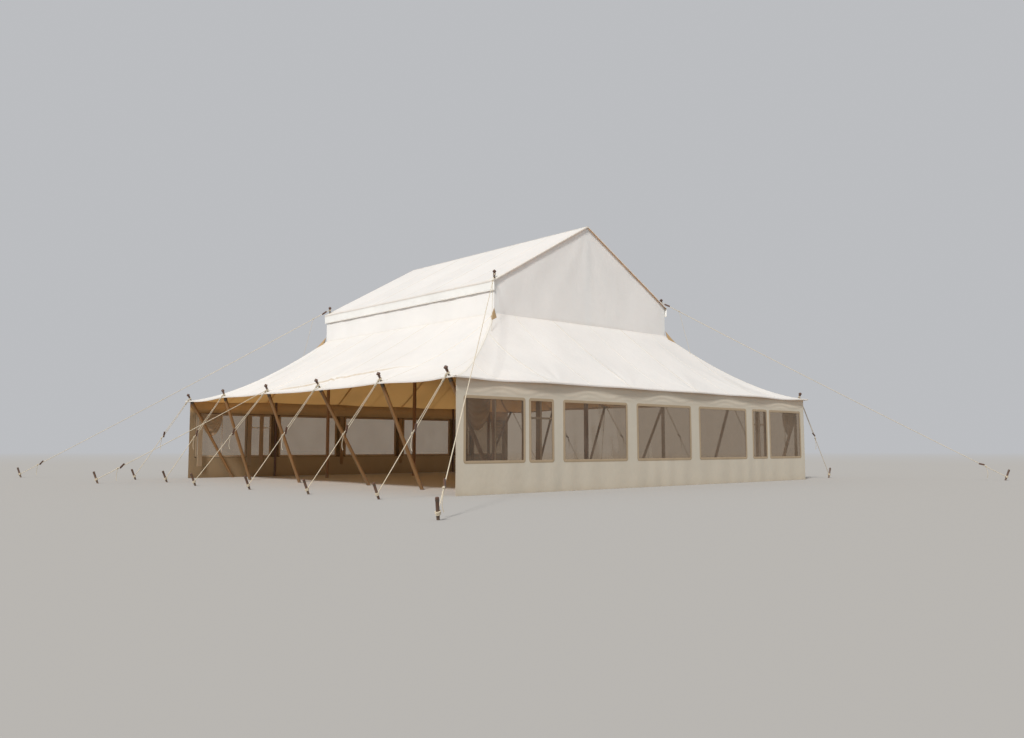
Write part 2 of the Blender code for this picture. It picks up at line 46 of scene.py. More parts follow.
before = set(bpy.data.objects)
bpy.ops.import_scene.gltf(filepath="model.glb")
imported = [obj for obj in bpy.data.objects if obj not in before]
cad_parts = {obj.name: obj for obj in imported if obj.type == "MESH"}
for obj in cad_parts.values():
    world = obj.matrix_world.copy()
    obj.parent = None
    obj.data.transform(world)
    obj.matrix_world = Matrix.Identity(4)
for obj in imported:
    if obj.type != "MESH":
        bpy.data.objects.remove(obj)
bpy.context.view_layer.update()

# Sizes read from the frame
SKIRT_LOW, SKIRT_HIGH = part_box("lower_roof_right")
END_LOW, END_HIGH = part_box("lower_roof_far")
TOP_LOW, TOP_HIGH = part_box("upper_roof_right")
LOWER_HEM = 0.035
UPPER_VALANCE = 0.25
HALF_WIDTH = round(SKIRT_HIGH.x, 3)
UPPER_HALF_WIDTH = round(SKIRT_LOW.x, 3)
HALF_LENGTH = round(END_HIGH.y, 3)
UPPER_HALF_LENGTH = round(END_LOW.y, 3)
EAVE_HEIGHT = round(SKIRT_LOW.z + LOWER_HEM, 3)
STEP_HEIGHT = round(SKIRT_HIGH.z, 3)
UPPER_EDGE = round(TOP_HIGH.x, 3)
UPPER_REACH = round(TOP_HIGH.y, 3)
RIDGE_HEIGHT = round(TOP_HIGH.z, 3)
UPPER_SLOPE = (RIDGE_HEIGHT - TOP_LOW.z - UPPER_VALANCE) / UPPER_EDGE
SIDE_RUN = HALF_WIDTH - UPPER_HALF_WIDTH
END_RUN = HALF_LENGTH - UPPER_HALF_LENGTH
LOWER_RISE = STEP_HEIGHT - EAVE_HEIGHT

# Names and signs of the sides and the ends, the slopes with whether each is on a side, and the corners
SIDES = (("left", -1), ("right", 1))
ENDS = (("near", -1), ("far", 1))
SLOPES = (("left", True, -1), ("right", True, 1), ("near", False, -1), ("far", False, 1))
CORNERS = ((-1, -1), (-1, 1), (1, -1), (1, 1))

# Layout of the lower roof and its poles
BAY = 2.6
SAG_MIDDLE = 1.08
SAG_HIP = 1.6
SAG_START = 0.45
EYELET_IN = 0.075
POLE_ROWS = (-6.25, -3.9, -1.3, 1.3, 3.9, 6.25)
POLE_SPREADS = (1.25, 1.1, 1.4, 0.95, 0.82, 1.36)
POLE_LIFTS = (-0.012, 0.006, -0.022, 0.012, 0.02, -0.012)
END_FANS = (-5.9, -3.6, -1.2, 1.2, 3.6, 5.9)
GUY_SPREADS = (1.5, 1.6, 1.6, 1.75, 1.45, 1.45)
STORM_POLE = 3
STORM_REACH = 3.05
CORNER_GUY = (9.9, 10.5)
INNER_POLE = (3.1877, 3.8377)
CORNER_HEIGHT = RIDGE_HEIGHT - UPPER_SLOPE * INNER_POLE[0]

# Layout of the end walls
WALL_PLACE = 6.405
WALL_HALF_WIDTH = 6.38
SILL = 0.65
WINDOW_HEAD = 1.9
WINDOWS = ((-6.15, -4.6), (-4.42, -3.78), (-3.42, -1.4), (-1.0, 1.0), (1.4, 3.42), (3.78, 4.42), (4.6, 6.15))
WINDOW_EDGES = tuple(edge for window in WINDOWS for edge in window)
BARRED = (WINDOWS[1], WINDOWS[5])
MID_RAIL = 1.53
TAPES = (-5.37, 5.37)
END_POLE = (3.6, 6.3604)
RAIL_PLACE = 6.3151
RAIL_HEIGHT = 1.94
CURTAINS = (-6.08, -4.51, -4.11, -1.2, 1.2, 4.11, 4.51, 6.08)
CURTAIN_BOTTOM = 0.35
SWAGS = ((-5.42, -6.08), (5.42, 6.08))
SWAG_DROP = 0.7
WALL_SPACING = 0.075
CLEAR_HALF_WIDTH = 6.2
CLEAR_LAP = 0.05
CLEAR_SPACING = 0.062

# How far out from the wall's face the window bands, the bars, the tapes and the clear sheet lie
BAND_FACES = (0.0012, -0.0085)
BAR_FACE = -0.0185
TAPE_FACE = -0.0135
CLEAR_FACE = -0.0045

# Half width, half thickness, points and power of the section of a window band, a glazing bar and a tape
BAND = (0.03, 0.0026, 8, 3)
BAR = (0.02, 0.008, 16, 4)
TAPE = (0.018, 0.0022, 12, 3)
BAND_OVER = 0.012
BAND_CORNER = 0.03
BAR_OVER = 0.01

# Long crease of each side, as shares of the way up the slope
CREASE_START = 1.3
CREASE_REST = 0.085
CREASE_HALF = 0.009

# How far in from a hem the droop of each bay, the lift at each pole and the long crease die out
DROOP_REACH = 0.5
LIFT_REACH = 0.7
CREASE_REACH = 0.3

# The fold of a hem: how far in from the edge and how far down each row lies, and where the flat part starts
HEM_INSETS = np.array([0, 0, 0, 0.0006, 0.0024])
HEM_DROPS = np.array([0.034, 0.02, 0.0075, 0.0038, 0.0011])
HEM_ROUND = 0.006

# Half the width of a strip on its own lay, and the places of its stitches and of those along a hem
STRIP_HALF = 0.026
STRIP_STITCH = 0.0205
HEM_STITCH = 0.027
HEM_LAY = 0.1

# Half widths of the webbing at a pole, a plain seam, a hip's web and the ridge's
WEBBING = 0.026
SEAM = 0.011
HIP_WEB = 0.03
RIDGE_WEB = 0.05

# What the way up a slope or a tape, or out from the ridge, is multiplied by for its lay on the cloth
SLOPE_LAY = 3.73
TAPE_LAY = 3.7
UPPER_LAY = 1.148

# The canvas between the tiers laps under the lower roof's top edge, and stops short of its own corners
UPRIGHT_LAP = 0.06
UPRIGHT_REACH = 3.8955
FACE_IN = 0.001

# Eyelets: hole in the canvas, inner edge of the patch, ring and its height over the canvas
LOWER_HOLE = 0.034
UPPER_HOLE = 0.036
PATCH_HOLE = 0.0205
PATCH_TO_HEM = 0.062
RING = 0.028
RING_WIRE = 0.005
RING_LIFT = 0.0065

# Spike and knob on each pole that passes through the canvas
SHOULDER = 0.036
NECK = 0.115
KNOB = 0.1
KNOB_END = 0.35 * 0.046
SPIKE = 0.018
LOOP_HEIGHT = 0.09
COIL_HEIGHT = 0.058

# Ropes: spacing of rings in a straight run and in a coil, the places along a guy, and the stake
ROPE_STEP = 0.0125
TURN = 0.0075
GUY_START = SPIKE + 0.0095
STRAND = 0.0075
WHIPPING = 0.007
STRAND_GAP = 0.021
NARROW = 0.45
WHIP_PLACES = (0.17, 0.035)
WHIP_PITCHES = (0.017, 0.016)
SLACK_SHARE = 0.003
RUNNER_PLACE = 0.47
RUNNER_TO_STAKE = 0.75
KNOT_PLACE = 0.13
TAIL = 0.3
STAKE_HEIGHT = 0.3
STAKE_LEAN = 0.12
STAKE_TIE = 0.105
DROP_PLACE = 0.051
DROP_FOOT = 0.083

# Finishes of canvas sheets, outside and inside, and of timber pieces, by the number of each finish; the
# insides are darker copies of the canvas, painted shade
ROOF_FINISHES = ["roof_canvas", "roof_underside_shade"]
# Painted light: the upright canvas outside is a lighter copy of the roof canvas
UPRIGHT_FINISHES = ["upright_canvas", "roof_underside_shade"]
WALL_FINISHES = ["wall_outside", "wall_inside_shade"]
POLE_FINISHES = ["brown_timber", "steel", "dark_timber"]
TIMBER, STEEL, DARK = 0, 1, 2
UP = np.array([0.0, 0.0, 1.0])


def length(name, description, default):
    """A size that can be changed."""
    return bpy.props.FloatProperty(name=name, description=description, default=default, unit="LENGTH")


def hue(name, description, default):
    """A colour that can be changed."""
    return bpy.props.FloatVectorProperty(name=name, description=description, default=default, subtype="COLOR")


class TentSizes(bpy.types.PropertyGroup):
    """Sizes of the looks that can be changed without moving the frame."""

    canvas: length("Canvas", "Thickness of a canvas sheet", 0.003)
    fold: length("Folds", "Depth of the creases round the eyelets", 0.017)
    crease: length("Crease", "Height of the long crease on each side", 0.055)
    bay_sag: length("Bay sag", "How far the roof sags inside a bay", 0.045)
    hem_droop: length("Hem droop", "How far the hem hangs between two poles", 0.03)
    scallop: length("Scallop", "How far the hem is drawn in between two poles", 0.05)
    unevenness: length("Unevenness", "Height of the broad uneven places", 0.008)
    rope: length("Rope", "Radius of a guy rope", 0.009)
    lay_length: length("Lay length", "Length of one turn of the rope's strands", 0.1)
    pole: length("Side pole", "Radius of a raked side pole", 0.042)


class TentColours(bpy.types.PropertyGroup):
    """Colours of the finishes."""

    canvas: hue("Canvas", "Sunlit roof canvas", (0.93, 0.925, 0.90))
    glow: hue("Glow", "Light that comes through the roof", (1.0, 0.66, 0.28))
    # Painted shade: the underside of the roof is a dark tan copy of the canvas
    painted_underside: hue("Underside", "Underside of the roof canvas", (0.52, 0.33, 0.15))
    # Painted shade: the tan of the gussets and the eave webbing stands for shade under the eave and at the
    # hips' tops
    tan: hue("Tan webbing", "Gussets and eave webbing", (0.52, 0.36, 0.19))
    wall: hue("End walls", "Outside of the end walls", (0.78, 0.72, 0.60))
    # Painted shade: the inside of the end walls is a dark brown copy of the wall canvas
    wall_inside_shade: hue("Wall inside", "Inside of the end walls", (0.36, 0.275, 0.18))
    curtain: hue("Curtains", "Beige curtains", (0.50, 0.38, 0.25))
    sheer: hue("Swags", "Pale sheer swags", (0.56, 0.46, 0.35))
    timber: hue("Poles", "Brown poles", (0.235, 0.122, 0.045))
    knob: hue("Knobs", "Dark turned knobs and runners", (0.10, 0.047, 0.028))
    rope: hue("Ropes", "Cream ropes", (0.74, 0.64, 0.48))
    floor: hue("Floor", "Pale floor", (0.40, 0.385, 0.365))
    backdrop: hue("Backdrop", "Light all round", (0.50, 0.51, 0.53))


def sizes():
    """The sizes that the panel shows."""
    return bpy.context.scene.tent_sizes


# Arrays


def ease(value):
    """Goes from 0 to 1 with level ends: 3 v squared less 2 v cubed."""
    value = np.clip(value, 0.0, 1.0)
    return value * value * (3 - 2 * value)


def hump(value, middle, spread):
    """One at the middle, and less to both sides: e to the power of minus the offset squared."""
    return np.exp(-(((value - middle) / spread) ** 2))


def unit(vectors):
    """Each vector divided by its length."""
    return vectors / np.linalg.norm(vectors, axis=-1, keepdims=True)


def stack(*values):
    """Arrays of X, Y and Z, or others of one shape, as one array of points."""
    return np.stack(np.broadcast_arrays(*values), -1).astype(float)


def surface(grid, lay, wear_and_shade=0.0, around=False, ends="open", keep=None, finish=0, out=None):
    """The squares of a grid of points, rows by columns.

    Around joins the last column to the first.  Ends are open, capped or joined.  Keep says which
    squares stay.  Faces are turned to the direction out, or away from the middle of a closed form.
    """
    rows, columns = grid.shape[:2]
    index = np.arange(rows * columns).reshape(rows, columns)
    if around:
        index = np.concatenate([index, index[:, :1]], 1)
    if ends == "joined":
        index = np.concatenate([index, index[:1]], 0)
    quads = np.stack([index[:-1, :-1], index[:-1, 1:], index[1:, 1:], index[1:, :-1]], -1)
    kinds = np.broadcast_to(np.reshape(finish, (-1, 1)), quads.shape[:2])
    if keep is not None:
        quads, kinds = quads[keep], kinds[keep]
    quads = quads.reshape(-1, 4)
    points = grid.reshape(-1, 3)
    a, b, c, d = (points[quads[:, k]] - points.mean(0) for k in range(4))
    areas = np.cross(c - a, d - b)
    facing = (areas * (a + c if out is None else np.array(out, float))).sum()
    caps = [index[0, :columns][::-1], index[-1, :columns]] if ends == "capped" else []
    if facing < 0:
        quads = quads[:, ::-1]
        caps = [cap[::-1] for cap in caps]
    return {
        "points": points,
        "corners": np.concatenate([quads.ravel(), *caps]),
        "counts": np.concatenate([np.full(len(quads), 4), [len(cap) for cap in caps]]).astype(int),
        "lay": np.broadcast_to(lay, grid.shape).reshape(-1, 3),
        "wear_and_shade": np.broadcast_to(wear_and_shade, (rows, columns)).ravel(),
        "finish": np.concatenate([kinds.ravel(), kinds.ravel()[[0, -1]][: len(caps)]]).astype(int),
    }


def thicken(item, thickness):
    """Gives a sheet its thickness, on the side away from its face.  The second finish goes on that side."""
    step = item.modifiers.new("thickness", "SOLIDIFY")
    step.thickness = thickness
    step.offset = -1
    step.material_offset = 1
    bpy.context.view_layer.update()
    graph = bpy.context.evaluated_depsgraph_get()
    solid = bpy.data.meshes.new_from_object(item.evaluated_get(graph))
    item.modifiers.clear()
    item.data = solid


def make_piece(name, parts, finishes, replaces=(), thick=0.0, sharp=42):
    """Joins surfaces into one mesh, puts it into the scene and lets it ride on the tent."""
    shifts = np.cumsum([0] + [len(p["points"]) for p in parts])
    corners = np.concatenate([p["corners"] + s for p, s in zip(parts, shifts)])
    keys = ("points", "lay", "wear_and_shade", "finish", "counts")
    points, lay, wear_and_shade, kinds, counts = (np.concatenate([p[key] for p in parts]) for key in keys)
    mesh = bpy.data.meshes.new(name)
    mesh.vertices.add(len(points))
    mesh.vertices.foreach_set("co", points.astype(np.float32).ravel())
    mesh.loops.add(len(corners))
    mesh.loops.foreach_set("vertex_index", corners.astype(np.int32))
    mesh.polygons.add(len(counts))
    mesh.polygons.foreach_set("loop_start", (np.cumsum(counts) - counts).astype(np.int32))
    mesh.polygons.foreach_set("material_index", kinds.astype(np.int32))
    values = mesh.attributes.new("lay", "FLOAT_VECTOR", "POINT").data
    values.foreach_set("vector", lay.astype(np.float32).ravel())
    values = mesh.attributes.new("wear_and_shade", "FLOAT", "POINT").data
    values.foreach_set("value", wear_and_shade.astype(np.float32))
    for finish in finishes:
        mesh.materials.append(bpy.data.materials[finish])
    mesh.update(calc_edges=True)
    item = bpy.data.objects.new(name, mesh)
    bpy.context.scene.collection.objects.link(item)
    if thick:
        thicken(item, thick)
    item.data.shade_smooth()
    item.data.set_sharp_from_angle(angle=math.radians(sharp))
    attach(item, "root")
    if replaces:
        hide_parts(*replaces)
    return item


def along(path):
    """Distance along a path to each of its points."""
    return np.concatenate([[0], np.cumsum(np.linalg.norm(np.diff(path, axis=0), axis=1))])


def respaced(path, spacing):
    """The same path with a point every so many metres."""
    run = along(path)
    steps = np.linspace(0, run[-1], max(int(run[-1] / spacing), 2) + 1)
    return np.stack([np.interp(steps, run, path[:, k]) for k in range(3)], -1)


def sweep(path, radius, angle, reference, closed=False):
    """Rings of points carried along a path: each ring's points lie at a radius and an angle round it."""
    ahead = np.roll(path, -1, 0) - np.roll(path, 1, 0) if closed else np.gradient(path, axis=0)
    ahead = unit(ahead)
    side = unit(np.cross(ahead, np.array(reference, float)))
    over = np.cross(side, ahead)
    radius, angle = np.broadcast_arrays(radius, angle)
    shape = np.broadcast_shapes(radius.shape, (len(path), radius.shape[-1]))
    radius, angle = np.broadcast_to(radius, shape), np.broadcast_to(angle, shape)
    flat, tall = radius * np.cos(angle), radius * np.sin(angle)
    grid = path[:, None] + flat[..., None] * side[:, None] + tall[..., None] * over[:, None]
    lay = stack(flat, tall, along(path)[:, None])
    return surface(grid, lay, around=True, ends="joined" if closed else "capped")


def slab_section(wide, thick, sides, power):
    """Radius and angle of a flat section with rounded corners: a superellipse."""
    angle = np.linspace(0, 2 * np.pi, sides, endpoint=False)
    reach = (np.abs(np.cos(angle)) / wide) ** power + (np.abs(np.sin(angle)) / thick) ** power
    return reach ** (-1 / power), angle


def strip(path, half, thick, sides, power, closed=False):
    """A flat section carried along a path, its lay scaled so that one row of stitches suits every width."""
    radius, angle = slab_section(half, thick, sides, power)
    part = sweep(path, radius, angle, (0, 1, 0), closed=closed)
    part["lay"] = part["lay"][:, [0, 2, 1]] * (STRIP_HALF / half, 1, 1)
    return part


def pair(axis):
    """Two directions at right angles to an axis."""
    helper = np.array([0.0, 1.0, 0.0]) if abs(axis[1]) < 0.9 else np.array([1.0, 0.0, 0.0])
    first = unit(np.cross(axis, helper))
    return first, np.cross(axis, first)


def turned(foot, axis, stations, sides, bands=((-1, TIMBER),), grounded=False):
    """A turned form: rings round a straight axis, each at a distance from the foot and with a radius.

    A stretch between two rings has the finish of the last band whose start its middle reaches.
    """
    stations = np.array(stations, float)
    middles = (stations[:-1, 0] + stations[1:, 0]) / 2
    starts, kinds = zip(*bands)
    finish = np.array(kinds)[np.searchsorted(starts, middles, side="right") - 1]
    angle = np.linspace(0, 2 * np.pi, sides, endpoint=False)
    first, second = pair(axis)
    out = np.cos(angle)[:, None] * first + np.sin(angle)[:, None] * second
    grid = foot + stations[:, :1, None] * axis + stations[:, 1:, None] * out
    if grounded:
        grid[0] -= axis * (grid[0][:, 2:] / axis[2])
    flat = stations[:, 1:] * np.cos(angle)
    tall = stations[:, 1:] * np.sin(angle)
    lay = stack(flat + foot[0], tall + foot[1], stations[:, :1])
    return surface(grid, lay, around=True, ends="capped", finish=finish)


def eyelet_ring(centre, slant):
    """A brass ring: a small circle carried round a large one."""
    axis = unit(np.array([slant, 0, 1.0]))
    first, second = pair(axis)
    turn = np.linspace(0, 2 * np.pi, 28, endpoint=False)[:, None]
    tilt = np.linspace(0, 2 * np.pi, 10, endpoint=False)[None]
    out = np.cos(turn)[..., None] * first + np.sin(turn)[..., None] * second
    across, rise = (RING + RING_WIRE * np.cos(tilt))[..., None], (RING_WIRE * np.sin(tilt))[..., None]
    grid = centre + [0, 0, RING_LIFT] + out * across + axis * rise
    return surface(grid, stack(RING * turn, RING_WIRE * tilt, 0.0), around=True, ends="joined")


# The lower roof


def bay_wave(place, half=HALF_LENGTH):
    """Nought at each pole and one in the middle of each bay: a sine squared."""
    return np.sin(np.pi * (place + half) / BAY) ** 2


def fan(ahead, aside, depth, reach, folds, phase):
    """Creases that fan out from a patch: cosines of the angle, which grow and then die with distance."""
    distance = np.hypot(ahead, aside)
    angle = np.arctan2(aside, ahead)
    grow = distance / reach * np.exp(1 - distance / reach) * ease((distance - 0.13) / 0.14)
    spread = np.clip(np.cos(angle), 0, 1) ** 1.2
    wave = 0.6 * np.cos(folds * angle + phase) + 0.4 * np.cos(1.7 * folds * angle - 2 * phase)
    return depth * grow * spread * wave


def uneven(first, second):
    """A faint unevenness: a few slow sines that cross each other."""
    return (
        np.sin(2.3 * first + 0.7 * second)
        + 0.7 * np.sin(3.9 * first - 1.9 * second + 1.3)
        + 0.5 * np.sin(6.1 * second + 2.1 * first + 0.4)
    ) / 2.2


def crease_share(run):
    """How far up the slope the long crease lies, by the distance along the hem at which it is."""
    rise = np.clip((CREASE_START - run) / BAY / 2, 0, 1.2)
    line = 0.03 + 0.26 * rise**1.15
    at_hip = ease((1 - np.abs(run) / HALF_LENGTH) / 0.1)
    return CREASE_REST + (line - CREASE_REST) * at_hip


def crease_strength(run, x):
    """How strong the long crease is: from the fourth pole to the near corner, and less on the right side."""
    return ease((CREASE_START - run) / 0.9) * ease((run + 5.2) / 2.6) * np.where(x < 0, 1.0, 0.4)


def width(side):
    """Width of a slope in plan, from its hem to the step."""
    return SIDE_RUN if side else END_RUN


def slope_place(x, y):
    """Which slope a plan point is on, how far up it is, 0 to 1, and how far along, -1 to 1."""
    up_side = (HALF_WIDTH - np.abs(x)) / SIDE_RUN
    up_end = (HALF_LENGTH - np.abs(y)) / END_RUN
    side = up_side <= up_end + 1e-9
    up = np.clip(np.minimum(up_side, up_end), 0, 1)
    share = np.where(side, y / (HALF_LENGTH - up * END_RUN), x / (HALF_WIDTH - up * SIDE_RUN))
    return side, up, np.clip(share, -1, 1)


def skirt_height(x, y):
    """Height of the lower roof over plan points.

    The eave plus the rise times up to the power of the sag, which is more along the hips.  Added to
    it are the sag and droop of each bay, the lifts at the poles, the creases that fan out from the
    eyelets, the long crease of each side and a faint unevenness.  All of these die out at the hips.
    """
    size = sizes()
    x, y = np.broadcast_arrays(np.asarray(x, float), np.asarray(y, float))
    side, up, share = slope_place(x, y)
    hip = ease((np.abs(share) - SAG_START) / (1 - SAG_START))
    height = EAVE_HEIGHT + LOWER_RISE * up ** (SAG_MIDDLE + (SAG_HIP - SAG_MIDDLE) * hip)
    reach = up * np.where(side, SIDE_RUN, END_RUN)
    place = np.where(side, y, x)
    free = ease((1 - np.abs(share)) / 0.12)
    high = ease((1 - up) / 0.2)
    bay = bay_wave(place)
    extra = -size.bay_sag * bay * np.sin(np.pi * up)
    extra -= size.hem_droop * bay * np.exp(-reach / DROOP_REACH)
    extra += size.unevenness * uneven(place, reach) * (0.35 + 0.65 * ease(reach / 0.8))
    lifts = np.interp(y, POLE_ROWS, POLE_LIFTS) * np.exp(-reach / LIFT_REACH)
    run = share * HALF_LENGTH
    off = (up - crease_share(run)) / CREASE_HALF
    step = ease((off + 1) / 2) * np.exp(-np.clip(off, 0, None) * CREASE_HALF * SIDE_RUN / CREASE_REACH)
    dip = -0.35 * hump(off, -1.6, 1.3)
    on_side = lifts + size.crease * crease_strength(run, x) * (step + dip)
    on_end = 0
    for k, (row, column) in enumerate(zip(POLE_ROWS, END_FANS)):
        spread = 0.42 + 0.05 * (k % 3)
        on_side = on_side + fan(reach - EYELET_IN, y - row, size.fold, spread, 7 + k % 3, 1.3 * k)
        on_end = on_end + fan(reach, x - column, 0.6 * size.fold, 0.5, 6 + k % 3, 0.9 * k)
    extra = (extra + np.where(side, on_side, on_end)) * free * high
    return height + extra


def hem_share(run, side):
    """How far the hem is drawn in between two poles, as a share of the slope's width."""
    return sizes().scallop * bay_wave(run) / width(side)


def slope_rows(share, side):
    """Shares up the slope of each row: the hem's fold, close rows, the long crease and the rest."""
    run = share * HALF_LENGTH
    fold = hem_share(run, side) + HEM_INSETS[:, None] / width(side)
    hem = hem_share(run, side) + HEM_ROUND / width(side)
    line = crease_share(run) if side else np.full_like(run, CREASE_REST)
    low, high = line - CREASE_HALF, line + CREASE_HALF
    low = np.maximum(low, hem + 0.006)
    near = np.minimum(hem + 0.8 * (low - hem), 0.045)
    steps = [np.linspace(0, 1, count)[:, None] for count in ((7, 7, 9, 40) if side else (7, 4, 4, 40))]
    return np.concatenate([
        fold,
        hem + (near - hem) * steps[0],
        near + (low - near) * steps[1][1:],
        low + (high - low) * steps[2][1:],
        high + (1 - high) * steps[3][1:] ** 1.2,
    ])


def slope_plan(up, share, side, sign):
    """Plan points of a slope: a trapezoid that narrows from the hem to the step."""
    wide = HALF_WIDTH - up * SIDE_RUN
    long = HALF_LENGTH - up * END_RUN
    if side:
        return sign * wide, share * long
    return share * wide, sign * long


def eyelets(sign):
    """Where the side poles of one side pass through the canvas."""
    x = np.full(6, sign * (HALF_WIDTH - EYELET_IN))
    y = np.array(POLE_ROWS)
    return stack(x, y, skirt_height(x, y))


def hem_shares():
    """Shares along a hem, -1 to 1, closer together near the poles: equal steps of a summed density."""
    run = np.linspace(-1, 1, 2001)
    near = hump(run[:, None] * HALF_LENGTH, np.array(POLE_ROWS), 0.3).sum(1)
    total = np.cumsum(1 + 1.8 * near)
    return np.interp(np.linspace(total[0], total[-1], 201), total, run)


def make_slope(name, side, sign):
    """One slope of the lower roof: a continuous sheet with its edge turned down at the hem."""
    share = hem_shares()
    up = slope_rows(share, side)
    x, y = slope_plan(up, share[None], side, sign)
    z = skirt_height(x, y)
    z[: len(HEM_DROPS)] -= HEM_DROPS[:, None]
    inside = np.clip((up - up[0]) * width(side), 0, HEM_LAY)
    lay = stack(y if side else x, up * SLOPE_LAY, inside)
    wear_and_shade = 0.5 * np.exp(-up / 0.02) + 0.35 * np.exp(-(1 - up) / 0.02)
    wear_and_shade = wear_and_shade + 0.5 * np.exp(-(1 - np.abs(share)) / 0.01)
    keep = np.ones((up.shape[0] - 1, up.shape[1] - 1), bool)
    if side:
        run = share * HALF_LENGTH
        # Painted shade: a dark tan line along the long crease, carried in the wear channel
        wear_and_shade = wear_and_shade + 3 * crease_strength(run, sign) * hump(up, crease_share(run), 0.3 * CREASE_HALF)
        middle_x, middle_y = ((v[:-1, :-1] + v[1:, 1:]) / 2 for v in (x, y))
        for point in eyelets(sign):
            keep &= np.hypot(middle_x - point[0], middle_y - point[1]) > LOWER_HOLE
    sheet = surface(stack(x, y, z), lay, wear_and_shade=wear_and_shade, keep=keep, out=(0, 0, 1))
    node = f"lower_roof_{name}"
    item = make_piece(f"skirt_canvas_{name}", [sheet], ROOF_FINISHES, [node], sizes().canvas)


def eave_tape(side, sign):
    """The tan webbing sewn under the hem of one slope: a strip that follows the hem just below the canvas,
    its tan being painted shade.
    """
    share = 0.996 * hem_shares()
    run = share * HALF_LENGTH
    across = np.array([0.004, 0.009, 0.03, 0.051, 0.056])[:, None]
    below = np.array([0.0012, 0.0034, 0.0038, 0.0034, 0.0012])[:, None]
    up = hem_share(run, side) + across / width(side)
    x, y = slope_plan(up, share[None], side, sign)
    z = skirt_height(x, y) - sizes().canvas - below
    return surface(stack(x, y, z), stack(up * TAPE_LAY, run, 0.0), wear_and_shade=0.3, out=(0, 0, -1))


def ribbon(middle_x, middle_y, across_x, across_y, height, half, lift=0.0028):
    """A strip laid on a height field: plan points to both sides of a line, lifted most in the middle."""
    offset = half * np.array([-1, -0.86, -0.3, 0.3, 0.86, 1])
    rise = lift * np.array([0.2, 1, 1.15, 1.15, 1, 0.2])
    x = middle_x[:, None] + across_x * offset
    y = middle_y[:, None] + across_y * offset
    run = along(stack(middle_x, middle_y, 0 * middle_x))[:, None]
    lay = stack(offset * STRIP_HALF / half, run, 0.0)
    return surface(stack(x, y, height(x, y) + rise), lay, wear_and_shade=0.45, out=(0, 0, 1))


def slope_seam(side, sign, k):
    """The seam at one half bay of a slope, with points close together where it crosses the long crease."""
    limit = HALF_LENGTH if side else HALF_WIDTH
    place = -limit + k * BAY / 2
    last = min(1.0, (limit - abs(place)) / width(not side)) - 0.004
    up = np.linspace(hem_share(place, side) + 0.002, last, 48)
    if side and crease_strength(place, sign) > 0.01:
        line = crease_share(1.04 * place)
        near = np.linspace(line - 3 * CREASE_HALF, line + 5 * CREASE_HALF, 26)
        clear = (up < near[0] - 0.005) | (up > near[-1] + 0.005)
        up = np.unique(np.concatenate([up[clear], near[near > up[0]]]))
    half = WEBBING if k % 2 == 0 else SEAM
    if side:
        wide = HALF_WIDTH - up * SIDE_RUN
        return ribbon(sign * wide, 0 * wide + place, 0, 1, skirt_height, half)
    long = HALF_LENGTH - up * END_RUN
    return ribbon(0 * long + place, sign * long, 1, 0, skirt_height, half)


def make_seams():
    """Lapped seams every half bay, wider webbing at each pole, and a web down each hip."""
    tapes = [slope_seam(side, sign, k) for _, side, sign in SLOPES for k in range(1, 10)]
    for sign_x, sign_y in CORNERS:
        up = np.linspace(0.004, 0.996, 80)
        x, y = sign_x * (HALF_WIDTH - up * SIDE_RUN), sign_y * (HALF_LENGTH - up * END_RUN)
        turn = unit(np.array([-sign_y * END_RUN, sign_x * SIDE_RUN]))
        tapes.append(ribbon(x, y, turn[0], turn[1], skirt_height, HIP_WEB))
    make_piece("skirt_seams", tapes, ["seam_canvas"], thick=0.002)
    # Painted shade: the tan webbing under each hem
    under = [eave_tape(side, sign) for _, side, sign in SLOPES]
    make_piece("eave_shade_webbing", under, ["painted_shade_tan"])


def cloth_patch(centre, edges, height, reach):
    """A reinforcing patch round an eyelet: a disc on the height field, cut straight near each edge."""
    turn = np.linspace(0, 2 * np.pi, 48, endpoint=False)
    limit = np.full(48, reach)
    for (way_x, way_y), distance in edges:
        facing = np.cos(turn) * way_x + np.sin(turn) * way_y
        limit = np.minimum(limit, distance / np.maximum(facing, 0.05))
    share = np.array([0, 0.2, 0.45, 0.7, 0.93, 1])[:, None]
    radius = PATCH_HOLE + (limit - PATCH_HOLE) * share
    x, y = centre[0] + radius * np.cos(turn), centre[1] + radius * np.sin(turn)
    z = height(x, y) + 0.0035 * np.minimum(1, 8 * (1 - share) + 0.15)
    run = along(stack(x[-1], y[-1], 0.0))
    lay = stack(STRIP_STITCH + 0.9 * limit - radius, run, 0.0)
    wear_and_shade = 0.25 + 0.5 * hump(share, 0.9, 0.05)
    return surface(stack(x, y, z), lay, wear_and_shade=wear_and_shade, around=True, out=(0, 0, 1))


def make_fittings():
    """Patches and brass rings at every eyelet of the lower and the upper roof."""
    patches, rings = [], []
    for _, sign in SIDES:
        for point in eyelets(sign):
            patches.append(cloth_patch(point, [((sign, 0), PATCH_TO_HEM)], skirt_height, 0.15))
            rings.append(eyelet_ring(point, sign * 0.5))
        for _, sign_y in ENDS:
            x, y = sign * INNER_POLE[0], sign_y * INNER_POLE[1]
            point = np.array([x, y, upper_height(x, y)])
            near = [((sign, 0), UPPER_EDGE - abs(x) - 0.012), ((0, sign_y), UPPER_REACH - abs(y) - 0.012)]
            patches.append(cloth_patch(point, near, upper_height, 0.2))
            rings.append(eyelet_ring(point, sign * 0.55))
    make_piece("eyelet_patches", patches, ["seam_canvas"], thick=0.0015)
    make_piece("eyelet_rings", rings, ["brass"])


